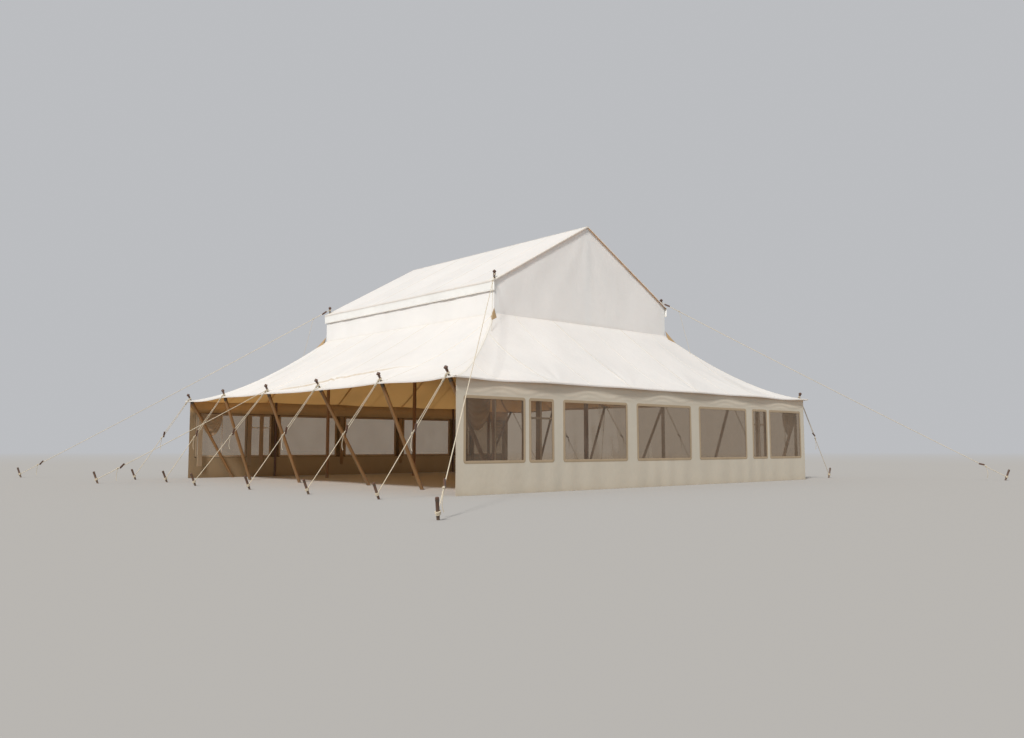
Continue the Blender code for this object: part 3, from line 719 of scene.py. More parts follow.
def make_gussets():
    """Tan gussets where each hip meets the corner of the upper tier, their tan colour painted shade.

    Each is a kite with its long point down the hip, drawn up to the corner of the wall: its height over
    the roof falls with the share of the way out.
    """
    share = np.linspace(0, 1, 14)[:, None]
    turn = np.linspace(0, 2, 25)[None]
    wide = UPPER_HALF_WIDTH + 0.003 + (0.01 + share * np.interp(turn, (0, 1, 2), (0.1, 0.24, 0.0)))
    long = UPPER_HALF_LENGTH + 0.003 + (0.01 + share * np.interp(turn, (0, 1, 2), (0.0, 0.192, 0.1)))
    wear_and_shade = 0.7 * np.exp(-(1 - share) / 0.08) + 0 * turn
    parts = []
    for sign_x, sign_y in CORNERS:
        x, y = sign_x * wide, sign_y * long
        z = skirt_height(x, y) + 0.005 + 0.14 * (1 - share) ** 1.25
        parts.append(surface(stack(x, y, z), stack(x, y, 0.0), wear_and_shade=wear_and_shade, out=(0, 0, 1)))
    make_piece("hip_shade_gussets", parts, ["painted_shade_tan"], thick=0.002)


# The upper roof and the canvas between the tiers


def upper_height(x, y):
    """Height of the upper roof: straight slopes from a rounded ridge, with a shallow sag in each bay."""
    size = sizes()
    x, y = np.broadcast_arrays(np.asarray(x, float), np.asarray(y, float))
    height = RIDGE_HEIGHT - 0.004 - UPPER_SLOPE * np.sqrt(x * x + 0.015**2)
    down = np.clip(np.abs(x) / UPPER_EDGE, 0, 1)
    inside = ease((UPPER_REACH - np.abs(y)) / 0.5)
    sag = 0.012 + 0.75 * size.bay_sag * bay_wave(y, UPPER_HALF_LENGTH)
    height = height - np.sin(np.pi * down) * sag * inside
    height += 0.7 * size.unevenness * uneven(y, x) * inside * np.sin(np.pi * down)
    for sign_x, sign_y in CORNERS:
        inward_x = INNER_POLE[0] - sign_x * x
        inward_y = INNER_POLE[1] - sign_y * y
        ahead = (inward_x + inward_y) / math.sqrt(2)
        aside = (inward_x - inward_y) / math.sqrt(2)
        height += fan(ahead, aside, 0.8 * size.fold, 0.5, 7, 0.8 * sign_x + sign_y) * ease(ahead / 0.3)
    return height


def folded(places, edge):
    """A row of places with the hem's fold put on at both ends, and how far down each of them lies."""
    fold = edge - HEM_INSETS
    drop = np.concatenate([HEM_DROPS, 0 * places, HEM_DROPS[::-1]])
    return np.concatenate([-fold, places, fold[::-1]]), drop


def make_upper_canvas():
    """The upper roof: one sheet from eave to eave over the ridge, its edges turned down, and its seams."""
    half = np.linspace(0, 1, 47)[1:] ** 0.96 * (UPPER_EDGE - HEM_ROUND)
    x, drop_x = folded(np.concatenate([-half[::-1], [0], half]), UPPER_EDGE)
    y, drop_y = folded(np.linspace(HEM_ROUND - UPPER_REACH, UPPER_REACH - HEM_ROUND, 119), UPPER_REACH)
    x, y = x[:, None], y[None]
    z = upper_height(x, y) - np.maximum(drop_x[:, None], drop_y[None])
    edge = np.minimum(UPPER_EDGE - np.abs(x), UPPER_REACH - np.abs(y))
    wear_and_shade = 0.7 * np.exp(-edge / 0.05) + 0.35 * np.exp(-np.abs(x) / 0.04)
    middle_x, middle_y = (x[:-1] + x[1:]) / 2, (y[:, :-1] + y[:, 1:]) / 2
    keep = np.hypot(np.abs(middle_x) - INNER_POLE[0], np.abs(middle_y) - INNER_POLE[1]) > UPPER_HOLE
    lay = stack(y, x * UPPER_LAY, np.minimum(edge, HEM_LAY))
    sheet = surface(stack(x, y, z), lay, wear_and_shade=wear_and_shade, keep=keep, out=(0, 0, 1))
    nodes = ["upper_roof_left", "upper_roof_right"]
    item = make_piece("upper_canvas", [sheet], ROOF_FINISHES, nodes, sizes().canvas)
    tapes = []
    for k in range(-2, 3):
        run = np.linspace(-UPPER_EDGE + 0.002, UPPER_EDGE - 0.002, 95)
        tapes.append(ribbon(run, np.full(95, k * BAY / 2), 0, 1, upper_height, WEBBING if k % 2 else SEAM))
    run = np.linspace(-UPPER_REACH + 0.002, UPPER_REACH - 0.002, 121)
    tapes.append(ribbon(0 * run, run, 1, 0, upper_height, RIDGE_WEB))
    make_piece("upper_seams", tapes, ["seam_canvas"], thick=0.002)


def make_upper_valance(name, sign):
    """The valance of the upper roof's eave: a straight drop with soft waves."""
    y = np.linspace(-UPPER_REACH, UPPER_REACH, 181)[None]
    down = np.linspace(0, 1, 9)[:, None]
    wave = 0.6 * np.sin(2 * np.pi * y / 0.93 + np.sin(1.7 * y)) + 0.4 * np.sin(2 * np.pi * y / 0.37)
    x = sign * (UPPER_EDGE - 0.006 - 0.012 * down - 0.008 * down**1.5 * wave)
    z = upper_height(UPPER_EDGE, y) - 0.02 - (UPPER_VALANCE - 0.02) * down
    # Painted shade: a tan line along the valance's lower edge, carried in the wear channel
    wear_and_shade = 1.5 * ease((down - 0.88) / 0.05) + 0 * y
    lay = stack(y, 0.23 * down, np.minimum(0.23 * (1 - down), HEM_LAY))
    sheet = surface(stack(x, y, z), lay, wear_and_shade=wear_and_shade, out=(sign, 0, 0))
    item = make_piece(f"upper_valance_{name}", [sheet], ["upright_canvas"], thick=0.0025)


def make_upright(name, sign):
    """The upright wall on a long side: a level strip that bellies a little between its poles."""
    y = np.linspace(-UPRIGHT_REACH, UPRIGHT_REACH, 131)[None]
    rise = np.linspace(0, 1, 17)[:, None]
    low = STEP_HEIGHT - UPRIGHT_LAP
    z = low + (upper_height(UPPER_HALF_WIDTH, y) - 0.006 - low) * rise
    belly = np.sin(np.pi * rise) * (0.004 * uneven(1.7 * y, rise) - 0.006 * bay_wave(y, UPPER_HALF_LENGTH))
    x = sign * (UPPER_HALF_WIDTH - FACE_IN + belly)
    wear_and_shade = 0.6 * ease((0.14 - rise) / 0.06) + 0.3 * np.exp(-(UPRIGHT_REACH - np.abs(y)) / 0.03)
    sheet = surface(stack(x, y, z), stack(y, z, 0.0), wear_and_shade=wear_and_shade, out=(sign, 0, 0))
    node = f"upright_wall_{name}"
    item = make_piece(f"upright_canvas_{name}", [sheet], UPRIGHT_FINISHES, [node], sizes().canvas)


def make_gable(name, sign):
    """The gable of the upper tier: its head follows the roof, and soft creases run down from the ridge."""
    x = np.linspace(-UPPER_HALF_WIDTH, UPPER_HALF_WIDTH, 111)[None]
    rise = np.linspace(0, 1, 31)[:, None]
    low = STEP_HEIGHT - UPRIGHT_LAP
    z = low + (upper_height(x, UPPER_HALF_LENGTH) - 0.008 - low) * rise
    drop = RIDGE_HEIGHT - z
    folds = np.cos(13 * np.arctan2(x, drop + 0.05)) * drop * np.exp(-drop)
    edge = ease((UPPER_HALF_WIDTH - np.abs(x)) / 0.4) * np.sin(np.pi * rise) ** 0.6
    y = sign * (UPPER_HALF_LENGTH - FACE_IN + edge * (0.012 + 0.014 * folds + 0.004 * uneven(2 * x, z)))
    wear_and_shade = 0.6 * ease((0.06 - rise) / 0.03) + 0.35 * np.exp(-(1 - rise) / 0.02)
    sheet = surface(stack(x, y, z), stack(x, z, 0.0), wear_and_shade=wear_and_shade, out=(0, sign, 0))
    node = f"gable_{name}"
    item = make_piece(f"gable_canvas_{name}", [sheet], UPRIGHT_FINISHES, [node], sizes().canvas)


# The end walls


def wall_bulge(x, z):
    """How far an end wall stands out: upright folds that grow towards the ground, and a shallow belly."""
    share = np.clip(z / EAVE_HEIGHT, 0, 1)
    folds = 0.5 + 0.5 * np.sin(2 * np.pi * x / 0.66 + 1.4 * np.sin(1.7 * x))
    head = ease((z - WINDOW_HEAD - 0.04) / 0.1)
    drape = 3.2 * (EAVE_HEIGHT - z) * np.abs(np.sin(np.pi * x / 1.3)) ** 2
    gather = 0.5 + 0.5 * np.sin(2 * np.pi * (z / 0.11 + drape) + 0.8 * np.sin(5 * x))
    return 0.013 * (1 - share) ** 1.2 * folds + 0.006 * np.sin(np.pi * share) + 0.006 * head * gather


def on_wall(sign, x, z, out=0.0):
    """Points on an end wall, or a little out from its face."""
    return stack(x, sign * (WALL_PLACE + wall_bulge(x, z) + out), z)


def filled(edges, spacing):
    """Values between a row of edges, evenly spread in each interval, with every edge among them."""
    runs = []
    for left, right in zip(edges[:-1], edges[1:]):
        count = max(int(round((right - left) / spacing)), 1)
        runs.append(np.linspace(left, right, count, endpoint=False))
    return np.concatenate([*runs, edges[-1:]])


def make_end_wall(name, sign):
    """An end wall from the ground to the roof: a grid whose squares inside the windows are left out."""
    x = filled([-WALL_HALF_WIDTH, *WINDOW_EDGES, WALL_HALF_WIDTH], WALL_SPACING)[None]
    low = filled([0.0, SILL, WINDOW_HEAD], WALL_SPACING)[:, None]
    head = np.linspace(0, 1, 23)[1:, None]
    top = skirt_height(x, sign * WALL_PLACE) - 0.006
    z = np.concatenate([low + 0 * x, WINDOW_HEAD + (top - WINDOW_HEAD) * head])
    middle_x = (x[0, :-1] + x[0, 1:]) / 2
    middle_z = (z[:-1, 0] + z[1:, 0]) / 2
    # A place inside a window has an odd number of window edges to its left
    open_x = np.searchsorted(WINDOW_EDGES, middle_x) % 2 == 1
    open_z = (middle_z > SILL) & (middle_z < WINDOW_HEAD)
    keep = ~(open_z[:, None] & open_x[None])
    wear_and_shade = 0.9 * np.exp(-z / 0.12) + 0.3 * np.exp(-np.abs(top - z) / 0.03)
    inside = np.minimum(np.minimum(z, WALL_HALF_WIDTH - np.abs(x)), HEM_LAY)
    sheet = surface(on_wall(sign, x, z), stack(x, z, inside), wear_and_shade=wear_and_shade, keep=keep, out=(0, sign, 0))
    node = f"end_wall_{name}"
    item = make_piece(f"end_canvas_{name}", [sheet], WALL_FINISHES, [node], sizes().canvas)


def window_loop(left, right):
    """A closed loop round a window, as X and Z: straight sides and quarter rounds at its corners."""
    inset = BAND_CORNER - BAND_OVER
    low, high = SILL + inset, WINDOW_HEAD - inset
    left, right = left + inset, right - inset
    arcs = []
    for k, (x, z) in enumerate(((right, high), (left, high), (left, low), (right, low))):
        turn = np.linspace(0, np.pi / 2, 6) + k * np.pi / 2
        arcs.append(stack(x + BAND_CORNER * np.cos(turn), z + BAND_CORNER * np.sin(turn)))
    ring = np.concatenate([*arcs, arcs[0][:1]])
    run = along(ring)
    steps = np.unique(np.concatenate([run[:-1], np.arange(0, run[-1], 0.08)]))
    steps = steps[np.concatenate([[True], np.diff(steps) > 0.004])]
    return np.interp(steps, run, ring[:, 0]), np.interp(steps, run, ring[:, 1])


def make_window_frames(name, sign):
    """Flat sections carried along lines on the wall: stitched bands round each window, bars and tapes."""
    bands, bars = [], []
    for left, right in WINDOWS:
        x, z = window_loop(left, right)
        for face in BAND_FACES:
            bands.append(strip(on_wall(sign, x, z, face), *BAND, closed=True))
    make_piece(f"window_bands_{name}", bands, ["band_canvas"])
    upright = np.linspace(SILL - BAR_OVER, WINDOW_HEAD + BAR_OVER, 24)
    for left, right in BARRED:
        level = np.linspace(left - BAR_OVER, right + BAR_OVER, 16)
        bars.append(strip(on_wall(sign, (left + right) / 2, upright, BAR_FACE), *BAR))
        bars.append(strip(on_wall(sign, level, MID_RAIL, BAR_FACE), *BAR))
    for x in TAPES:
        bars.append(strip(on_wall(sign, x, upright, TAPE_FACE), *TAPE))
    make_piece(f"glazing_bars_{name}", bars, ["seam_canvas"])


def make_clear_sheet(name, sign):
    """The clear sheet behind the windows: it follows the wall, and slack creases cross each opening."""
    x = filled([-CLEAR_HALF_WIDTH, *WINDOW_EDGES, CLEAR_HALF_WIDTH], CLEAR_SPACING)[None]
    z = filled([SILL - CLEAR_LAP, SILL, WINDOW_HEAD, WINDOW_HEAD + CLEAR_LAP], CLEAR_SPACING)[:, None]
    inside = np.max([ease((x - left) / 0.12) * ease((right - x) / 0.12) for left, right in WINDOWS], 0)
    inside = inside * ease((z - SILL) / 0.12) * ease((WINDOW_HEAD - z) / 0.12)
    slack = np.sin(9 * x + 5 * z + 1.5 * np.sin(3 * x)) + 0.7 * np.sin(15 * z - 6 * x)
    slack = slack + 0.6 * np.sin(21 * x + 2 * z)
    grid = on_wall(sign, x, z, CLEAR_FACE - 0.0016 * inside * slack)
    sheet = surface(grid, stack(x, z, 0.0), out=(0, sign, 0))
    node = f"window_sheet_{name}"
    item = make_piece(f"clear_panels_{name}", [sheet], ["clear_film"], [node], thick=0.0008)


def make_curtains(name, sign):
    """Narrow gathered curtains: pleats are a sine across the width, tighter at the heading."""
    across = np.linspace(0, 1, 41)[None]
    down = np.linspace(0, 1, 25)[:, None]
    waist = 1 - 0.1 * hump(down, 0.03, 0.03) - 0.06 * np.sin(np.pi * down)
    z = RAIL_HEIGHT + 0.012 - (RAIL_HEIGHT + 0.012 - CURTAIN_BOTTOM) * down
    wear_and_shade = 0.4 * ease((down - 0.965) / 0.01) + 0.3 * ease((0.04 - down) / 0.02) + 0 * across
    for number, centre in enumerate(CURTAINS, 1):
        drift = 0.012 * (across - 0.5) * np.sin(7 * down + number)
        x = centre + 0.146 * waist * (across - 0.5) + drift * down
        pleat = np.sin(2 * np.pi * 5 * across + 0.9 * np.sin(3.1 * down + number)) * (0.75 + 0.25 * down)
        y = sign * (RAIL_PLACE - 0.0105 * pleat * (1 - 0.3 * np.exp(-down / 0.04)))
        sheet = surface(stack(x, y, z), stack(0.3 * across, 1.6 * down, 0.0), wear_and_shade=wear_and_shade, out=(0, -sign, 0))
        item = make_piece(f"curtain_{name}_{number}", [sheet], ["curtain_cloth"], thick=0.0012)


def make_swags(name, sign):
    """Swags over the corner windows: nested hanging curves between two points, folded along their length."""
    across = np.linspace(0, 1, 56)[None]
    down = np.linspace(0, 1, 44)[:, None]
    hang = (4 * across * (1 - across)) ** (0.5 + 0.35 * (1 - down))
    z = RAIL_HEIGHT + 0.006 - 0.2 * SWAG_DROP * down - (0.02 + 0.76 * SWAG_DROP * down) * hang
    fold = np.sin(2 * np.pi * (5.2 * down**0.85 + 0.15 * np.sin(4 * across)))
    y = sign * (RAIL_PLACE - 0.014 - 0.012 * fold * (0.25 + 0.75 * np.sin(np.pi * across)))
    for number, (near, far) in enumerate(SWAGS, 1):
        x = near + (far - near) * (across + 0.035 * np.sin(2 * np.pi * across) * down)
        sheet = surface(stack(x, y, z), stack(1.2 * across, 0.9 * down, 0.0), wear_and_shade=0.15, out=(0, -sign, 0))
        item = make_piece(f"swag_{name}_{number}", [sheet], ["swag_cloth"], thick=0.001)


def make_rail(name, sign):
    """The curtain rail: a thin turned rod with small end stops, on the end poles."""
    reach = CURTAINS[-1] + 0.085
    stops = [(0, 0.008), (0.004, 0.014), (0.02, 0.014), (0.024, 0.0095)]
    back = [(2 * reach - s, r) for s, r in reversed(stops)]
    rod = [(s, 0.0095) for s in np.linspace(0.1, 2 * reach - 0.1, 20)]
    foot = np.array([-reach, sign * RAIL_PLACE, RAIL_HEIGHT])
    part = turned(foot, np.array([1.0, 0, 0]), stops + rod + back, 16)
    make_piece(f"curtain_rail_{name}", [part], ["dark_timber"], [f"curtains_{name}"])


# Poles


def pole_line(side, sign, k):
    """Eyelet, foot and axis of a raked side pole, as the frame has them."""
    x = sign * (HALF_WIDTH - EYELET_IN)
    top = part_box(f"side_pole_{side}_{k + 1}")[1].z
    # The knob's top gives the eyelet's height: it stands a neck and a knob beyond it along the axis
    height = EAVE_HEIGHT
    for _ in range(8):
        lean = math.atan2(POLE_SPREADS[k], height)
        height = top - (NECK + KNOB) * math.cos(lean) - KNOB_END * math.sin(lean)
    eyelet = np.array([x, POLE_ROWS[k], height])
    foot = np.array([x - sign * POLE_SPREADS[k], POLE_ROWS[k], 0.0])
    return eyelet, foot, unit(eyelet - foot)


def shaft(start, end, radius, seed):
    """Stations of a plain shaft, a few millimetres uneven as a shaved pole is: two slow sines."""
    run = np.linspace(start, end, max(int((end - start) / 0.09), 2))
    rough = 1 + 0.012 * np.sin(3.1 * run + seed) + 0.007 * np.sin(8.3 * run + 2 * seed)
    return list(zip(run, radius * rough))


def knob_stations(top):
    """The knob above the spike: bead, waist, ball and button."""
    shape = [(0.0, 0.018), (0.004, 0.031), (0.014, 0.034), (0.022, 0.03), (0.027, 0.023), (0.033, 0.026)]
    shape += [(0.041, 0.038), (0.052, 0.0448), (0.062, 0.0455), (0.072, 0.042), (0.081, 0.034)]
    shape += [(0.087, 0.022), (0.09, 0.0165), (0.096, 0.0168), (KNOB, 0.012)]
    return [(top + NECK + s, r) for s, r in shape]


def raked_pole(foot, axis, top, radius, seed):
    """A pole that passes through the canvas: turned shaft, steel ferrule, shoulder, spike and knob."""
    ferrule = top - SHOULDER - 0.085
    stations = [(0, radius - 0.001)] + shaft(0.035, ferrule - 0.004, radius, seed)
    stations += [(ferrule, radius), (ferrule + 0.001, radius + 0.0016), (ferrule + 0.07, radius + 0.0016)]
    stations += [(ferrule + 0.074, radius), (top - SHOULDER - 0.001, radius - 0.005), (top - SHOULDER, 0.03)]
    stations += [(top - SHOULDER + 0.001, SPIKE), (top + COIL_HEIGHT + 0.014, SPIKE)]
    stations += [(top + COIL_HEIGHT + 0.015, 0.024), (top + NECK - 0.006, 0.026)]
    stations += [(top + NECK - 0.002, SPIKE)]
    stations += knob_stations(top)
    bands = [(-1, TIMBER), (ferrule - 0.001, STEEL), (top + COIL_HEIGHT + 0.0145, DARK)]
    return turned(foot, axis, stations, 28, bands, grounded=True)


def make_side_poles():
    """The raked side poles, each leaning as the frame has it."""
    for side, sign in SIDES:
        for k in range(6):
            eyelet, foot, axis = pole_line(side, sign, k)
            top = float(np.linalg.norm(eyelet - foot))
            part = raked_pole(foot, axis, top, sizes().pole, 1.7 * k + sign)
            name = f"{side}_{k + 1}"
            make_piece(f"raked_pole_{name}", [part], POLE_FINISHES, [f"side_pole_{name}"])


def make_king_post(name, sign):
    """A king pole: a turned shaft with a steel band below its head."""
    low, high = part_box(f"king_pole_{name}")
    top = high.z
    stations = [(0, 0.056), (0.006, 0.0598)] + shaft(0.03, top - 0.12, 0.0592, sign)
    stations += [(top - 0.11, 0.0592), (top - 0.109, 0.0606), (top - 0.012, 0.0606), (top - 0.01, 0.058)]
    stations += [(top - 0.001, 0.052), (top, 0.048)]
    bands = [(-1, TIMBER), (top - 0.1095, STEEL), (top - 0.011, TIMBER)]
    foot = np.array([(low.x + high.x) / 2, (low.y + high.y) / 2, 0.0])
    part = turned(foot, UP, stations, 32, bands)
    make_piece(f"king_post_{name}", [part], POLE_FINISHES, [f"king_pole_{name}"])


def make_ridge_beam():
    """The ridge pole: a turned shaft with a steel sleeve over the joint in its middle."""
    low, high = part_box("ridge_pole")
    reach = high.y
    stations = [(0, 0.046), (0.004, 0.0495)] + shaft(0.05, reach - 0.21, 0.0492, 0.5)
    stations += [(reach - 0.2, 0.0492), (reach - 0.199, 0.0508)]
    stations += [(reach + 0.199, 0.0508), (reach + 0.2, 0.0492)]
    stations += shaft(reach + 0.21, 2 * reach - 0.05, 0.0492, 2.5)
    stations += [(2 * reach - 0.004, 0.0495), (2 * reach, 0.046)]
    bands = [(-1, TIMBER), (reach - 0.1995, STEEL), (reach + 0.1995, TIMBER)]
    foot = np.array([0, -reach, (low.z + high.z) / 2])
    part = turned(foot, np.array([0.0, 1, 0]), stations, 32, bands)
    make_piece("ridge_beam", [part], POLE_FINISHES, ["ridge_pole"])


def make_upright_poles():
    """The king poles, the four inner poles, the end poles up to the canvas, and the ridge pole."""
    turn = np.linspace(0, 2 * np.pi, 12)
    for end, sign_y in ENDS:
        make_king_post(end, sign_y)
        for side, sign_x in SIDES:
            name = f"{end}_{side}"
            foot = np.array([sign_x * INNER_POLE[0], sign_y * INNER_POLE[1], 0.0])
            part = raked_pole(foot, UP, CORNER_HEIGHT - 0.012, 0.0495, 2.3 * sign_x + sign_y)
            make_piece(f"inner_post_{name}", [part], POLE_FINISHES, [f"inner_pole_{name}"])
            x, y = sign_x * END_POLE[0], sign_y * END_POLE[1]
            top = float(skirt_height(x + 0.035 * np.cos(turn), y + 0.035 * np.sin(turn)).min()) - 0.005
            stations = [(0, 0.033)] + shaft(0.02, top - 0.03, 0.0345, sign_x)
            stations += [(top - 0.004, 0.034), (top, 0.029)]
            part = turned(np.array([x, y, 0.0]), UP, stations, 24)
            make_piece(f"end_post_{name}", [part], ["dark_timber"], [f"end_pole_{name}"])
    make_ridge_beam()


# Guys


def rope_part(path, reference, radius=None, spacing=ROPE_STEP):
    """A three-strand laid rope: the section's radius is a cosine of three times the angle, and it twists."""
    size = sizes()
    path = respaced(path, spacing)
    run = along(path)[:, None]
    angle = np.linspace(0, 2 * np.pi, 9, endpoint=False)
    lobes = (radius or size.rope) * (0.87 + 0.13 * np.cos(3 * angle))
    part = sweep(path, lobes, angle + 2 * np.pi * run / size.lay_length, reference)
    part["lay"] = stack(lobes * np.cos(angle), lobes * np.sin(angle), run).reshape(-1, 3)
    return part


def line_between(start, end, slack=0.0, count=24):
    """Points from one place to another, hanging by the slack in the middle: a parabola."""
    share = np.linspace(0, 1, count)[:, None]
    line = start + (end - start) * share
    line[:, 2:] -= 4 * slack * share * (1 - share)
    return line


def coil_part(centre, axis, radius, turns, pitch, thick=None):
    """A few turns of rope round an axis: a helix."""
    first, second = pair(axis)
    angle = np.linspace(0, 2 * np.pi * turns, int(24 * turns))[:, None]
    rise = angle / (2 * np.pi) * pitch - turns * pitch / 2
    path = centre + radius * (np.cos(angle) * first + np.sin(angle) * second) + axis * rise
    return rope_part(path, axis, thick, TURN)


def stake_part(ground, out):
    """A hardwood stake and its axis: turned, leaning away, with an iron hoop under its battered head."""
    lean = out * STAKE_LEAN + UP * STAKE_HEIGHT
    axis = unit(lean)
    top = float(np.linalg.norm(lean))
    stations = [(0, 0.022), (0.05, 0.0235), (0.15, 0.025), (top - 0.06, 0.0255), (top - 0.055, 0.0255)]
    stations += [(top - 0.054, 0.0275), (top - 0.032, 0.0275), (top - 0.031, 0.026), (top - 0.014, 0.0272)]
    stations += [(top - 0.004, 0.0235), (top, 0.015)]
    bands = [(-1, TIMBER), (top - 0.0545, STEEL), (top - 0.0315, TIMBER)]
    return turned(ground, axis, stations, 20, bands, grounded=True), axis


def slat_part(middle, way, tilt):
    """The wooden runner: a rounded slat that lies across the two strands at a slant."""
    across = pair(way)[0]
    spin = math.cos(tilt) * way + math.sin(tilt) * across
    ends = 0.085 * np.array([-1, -0.97, -0.88, -0.5, 0, 0.5, 0.88, 0.97, 1])
    shrink = np.array([0.62, 0.86, 1, 1, 1, 1, 1, 0.86, 0.62])[:, None]
    radius, angle = slab_section(0.023, 0.0115, 20, 4)
    return sweep(middle + ends[:, None] * spin, radius * shrink, angle, np.cross(way, across))


def outward(neck, ground):
    """The level direction from a guy's neck to its stake."""
    return unit((ground - neck) * (1, 1, 0))


def make_guy(name, node, neck, axis, grounds, doubled=True):
    """One guy: a loop over the neck, two strands to the runner, a single rope to the stake, knots and a tail.

    A storm guy, which goes to a second ground, and a guy that isn't doubled are single from end to end.
    """
    ropes = [coil_part(neck, axis, SPIKE + sizes().rope + 0.001, 1.5, 0.021)]
    timber = []
    for number, ground in enumerate(grounds):
        flat = outward(neck, ground)
        start = neck + unit(flat - axis * (flat @ axis)) * GUY_START
        stake, stake_axis = stake_part(ground, flat)
        end = ground + stake_axis * STAKE_TIE
        way = unit(end - start)
        sideways = unit(np.cross(way, UP))
        cross = np.cross(sideways, way)
        slack = SLACK_SHARE * np.linalg.norm(end - start)
        if doubled and number == 0:
            middle = start + (end - start) * RUNNER_PLACE
            whip = start + way * WHIP_PLACES[0]
            for gap in (-STRAND_GAP * cross, STRAND_GAP * cross):
                near = line_between(start + gap * NARROW, whip + gap * NARROW, count=8)
                far = line_between(whip + gap * NARROW, middle + gap, count=16)
                ropes.append(rope_part(np.concatenate([near[:-1], far]), sideways, STRAND))
            for place, pitch in zip(WHIP_PLACES, WHIP_PITCHES):
                ropes.append(coil_part(start + way * place, way, 0.019, 3, pitch, WHIPPING))
            ropes.append(rope_part(line_between(middle - way * 0.05, end, slack), sideways))
            timber.append(slat_part(middle, way, 0.42))
        else:
            middle = end - way * RUNNER_TO_STAKE
            ropes.append(rope_part(line_between(start, end, slack), sideways))
            timber.append(slat_part(middle, way, 0.3))
        knot = middle + way * KNOT_PLACE
        ropes.append(coil_part(knot, way, 0.0155, 2.5, 0.016, STRAND))
        fall = np.linspace(0, 1, 20)[:, None]
        tail = knot - cross * 0.014 - UP * (TAIL * fall) + way * (0.05 * np.sin(2.6 * fall))
        tail = tail + sideways * (0.03 * np.sin(3.5 * fall) * fall)
        ropes.append(rope_part(tail, sideways, 0.0065))
        ropes.append(coil_part(end, stake_axis, 0.034, 2.5, 0.019))
        timber.append(stake)
    make_piece(f"guy_rope_{name}", ropes, ["cream_rope"], [node], sharp=80)
    make_piece(f"guy_timber_{name}", timber, ["dark_timber", "steel"])


def make_side_guys():
    """The guys of the side poles, with a storm guy on one pole of each side."""
    for side, sign in SIDES:
        for k in range(6):
            eyelet, _, axis = pole_line(side, sign, k)
            spreads = [(GUY_SPREADS[k], 0.0)]
            if k == STORM_POLE:
                spreads.append((STORM_REACH, STORM_REACH))
            grounds = [np.array([sign * (HALF_WIDTH + x), eyelet[1] + y, 0.0]) for x, y in spreads]
            name = f"{side}_{k + 1}"
            make_guy(name, f"side_guy_{name}", eyelet + axis * COIL_HEIGHT, axis, grounds)


def make_corner_guys():
    """The long corner guys of the upper roof, each with its drop line and a small wooden block."""
    for end, sign_y in ENDS:
        for side, sign_x in SIDES:
            name = f"{end}_{side}"
            neck = np.array([sign_x * INNER_POLE[0], sign_y * INNER_POLE[1], CORNER_HEIGHT + LOOP_HEIGHT])
            ground = np.array([sign_x * CORNER_GUY[0], sign_y * CORNER_GUY[1], 0.0])
            make_guy(f"corner_{name}", f"corner_guy_{name}", neck, UP, [ground], doubled=False)
            start = neck + outward(neck, ground) * GUY_START
            line = ground + UP * 0.1 - start
            way = unit(line)
            knot = start + line * DROP_PLACE
            foot = start + line * DROP_FOOT
            foot[2] = skirt_height(foot[0], foot[1]) + 0.002
            drops = [rope_part(line_between(knot, foot), (0, 1, 0), 0.005)]
            drops.append(coil_part(knot, way, 0.0145, 3, 0.013, 0.006))
            make_piece(f"drop_line_{name}", drops, ["cream_rope"], sharp=80)
            block = slat_part(start + way * 0.16, way, 0.12)
            make_piece(f"corner_block_{name}", [block], ["dark_timber"])


# Finishes


def shade(colour, factor):
    """A colour times a factor, or times one for each of red, green and blue, and at most 1."""
    return tuple(np.minimum(np.multiply(colour, factor), 1.0))


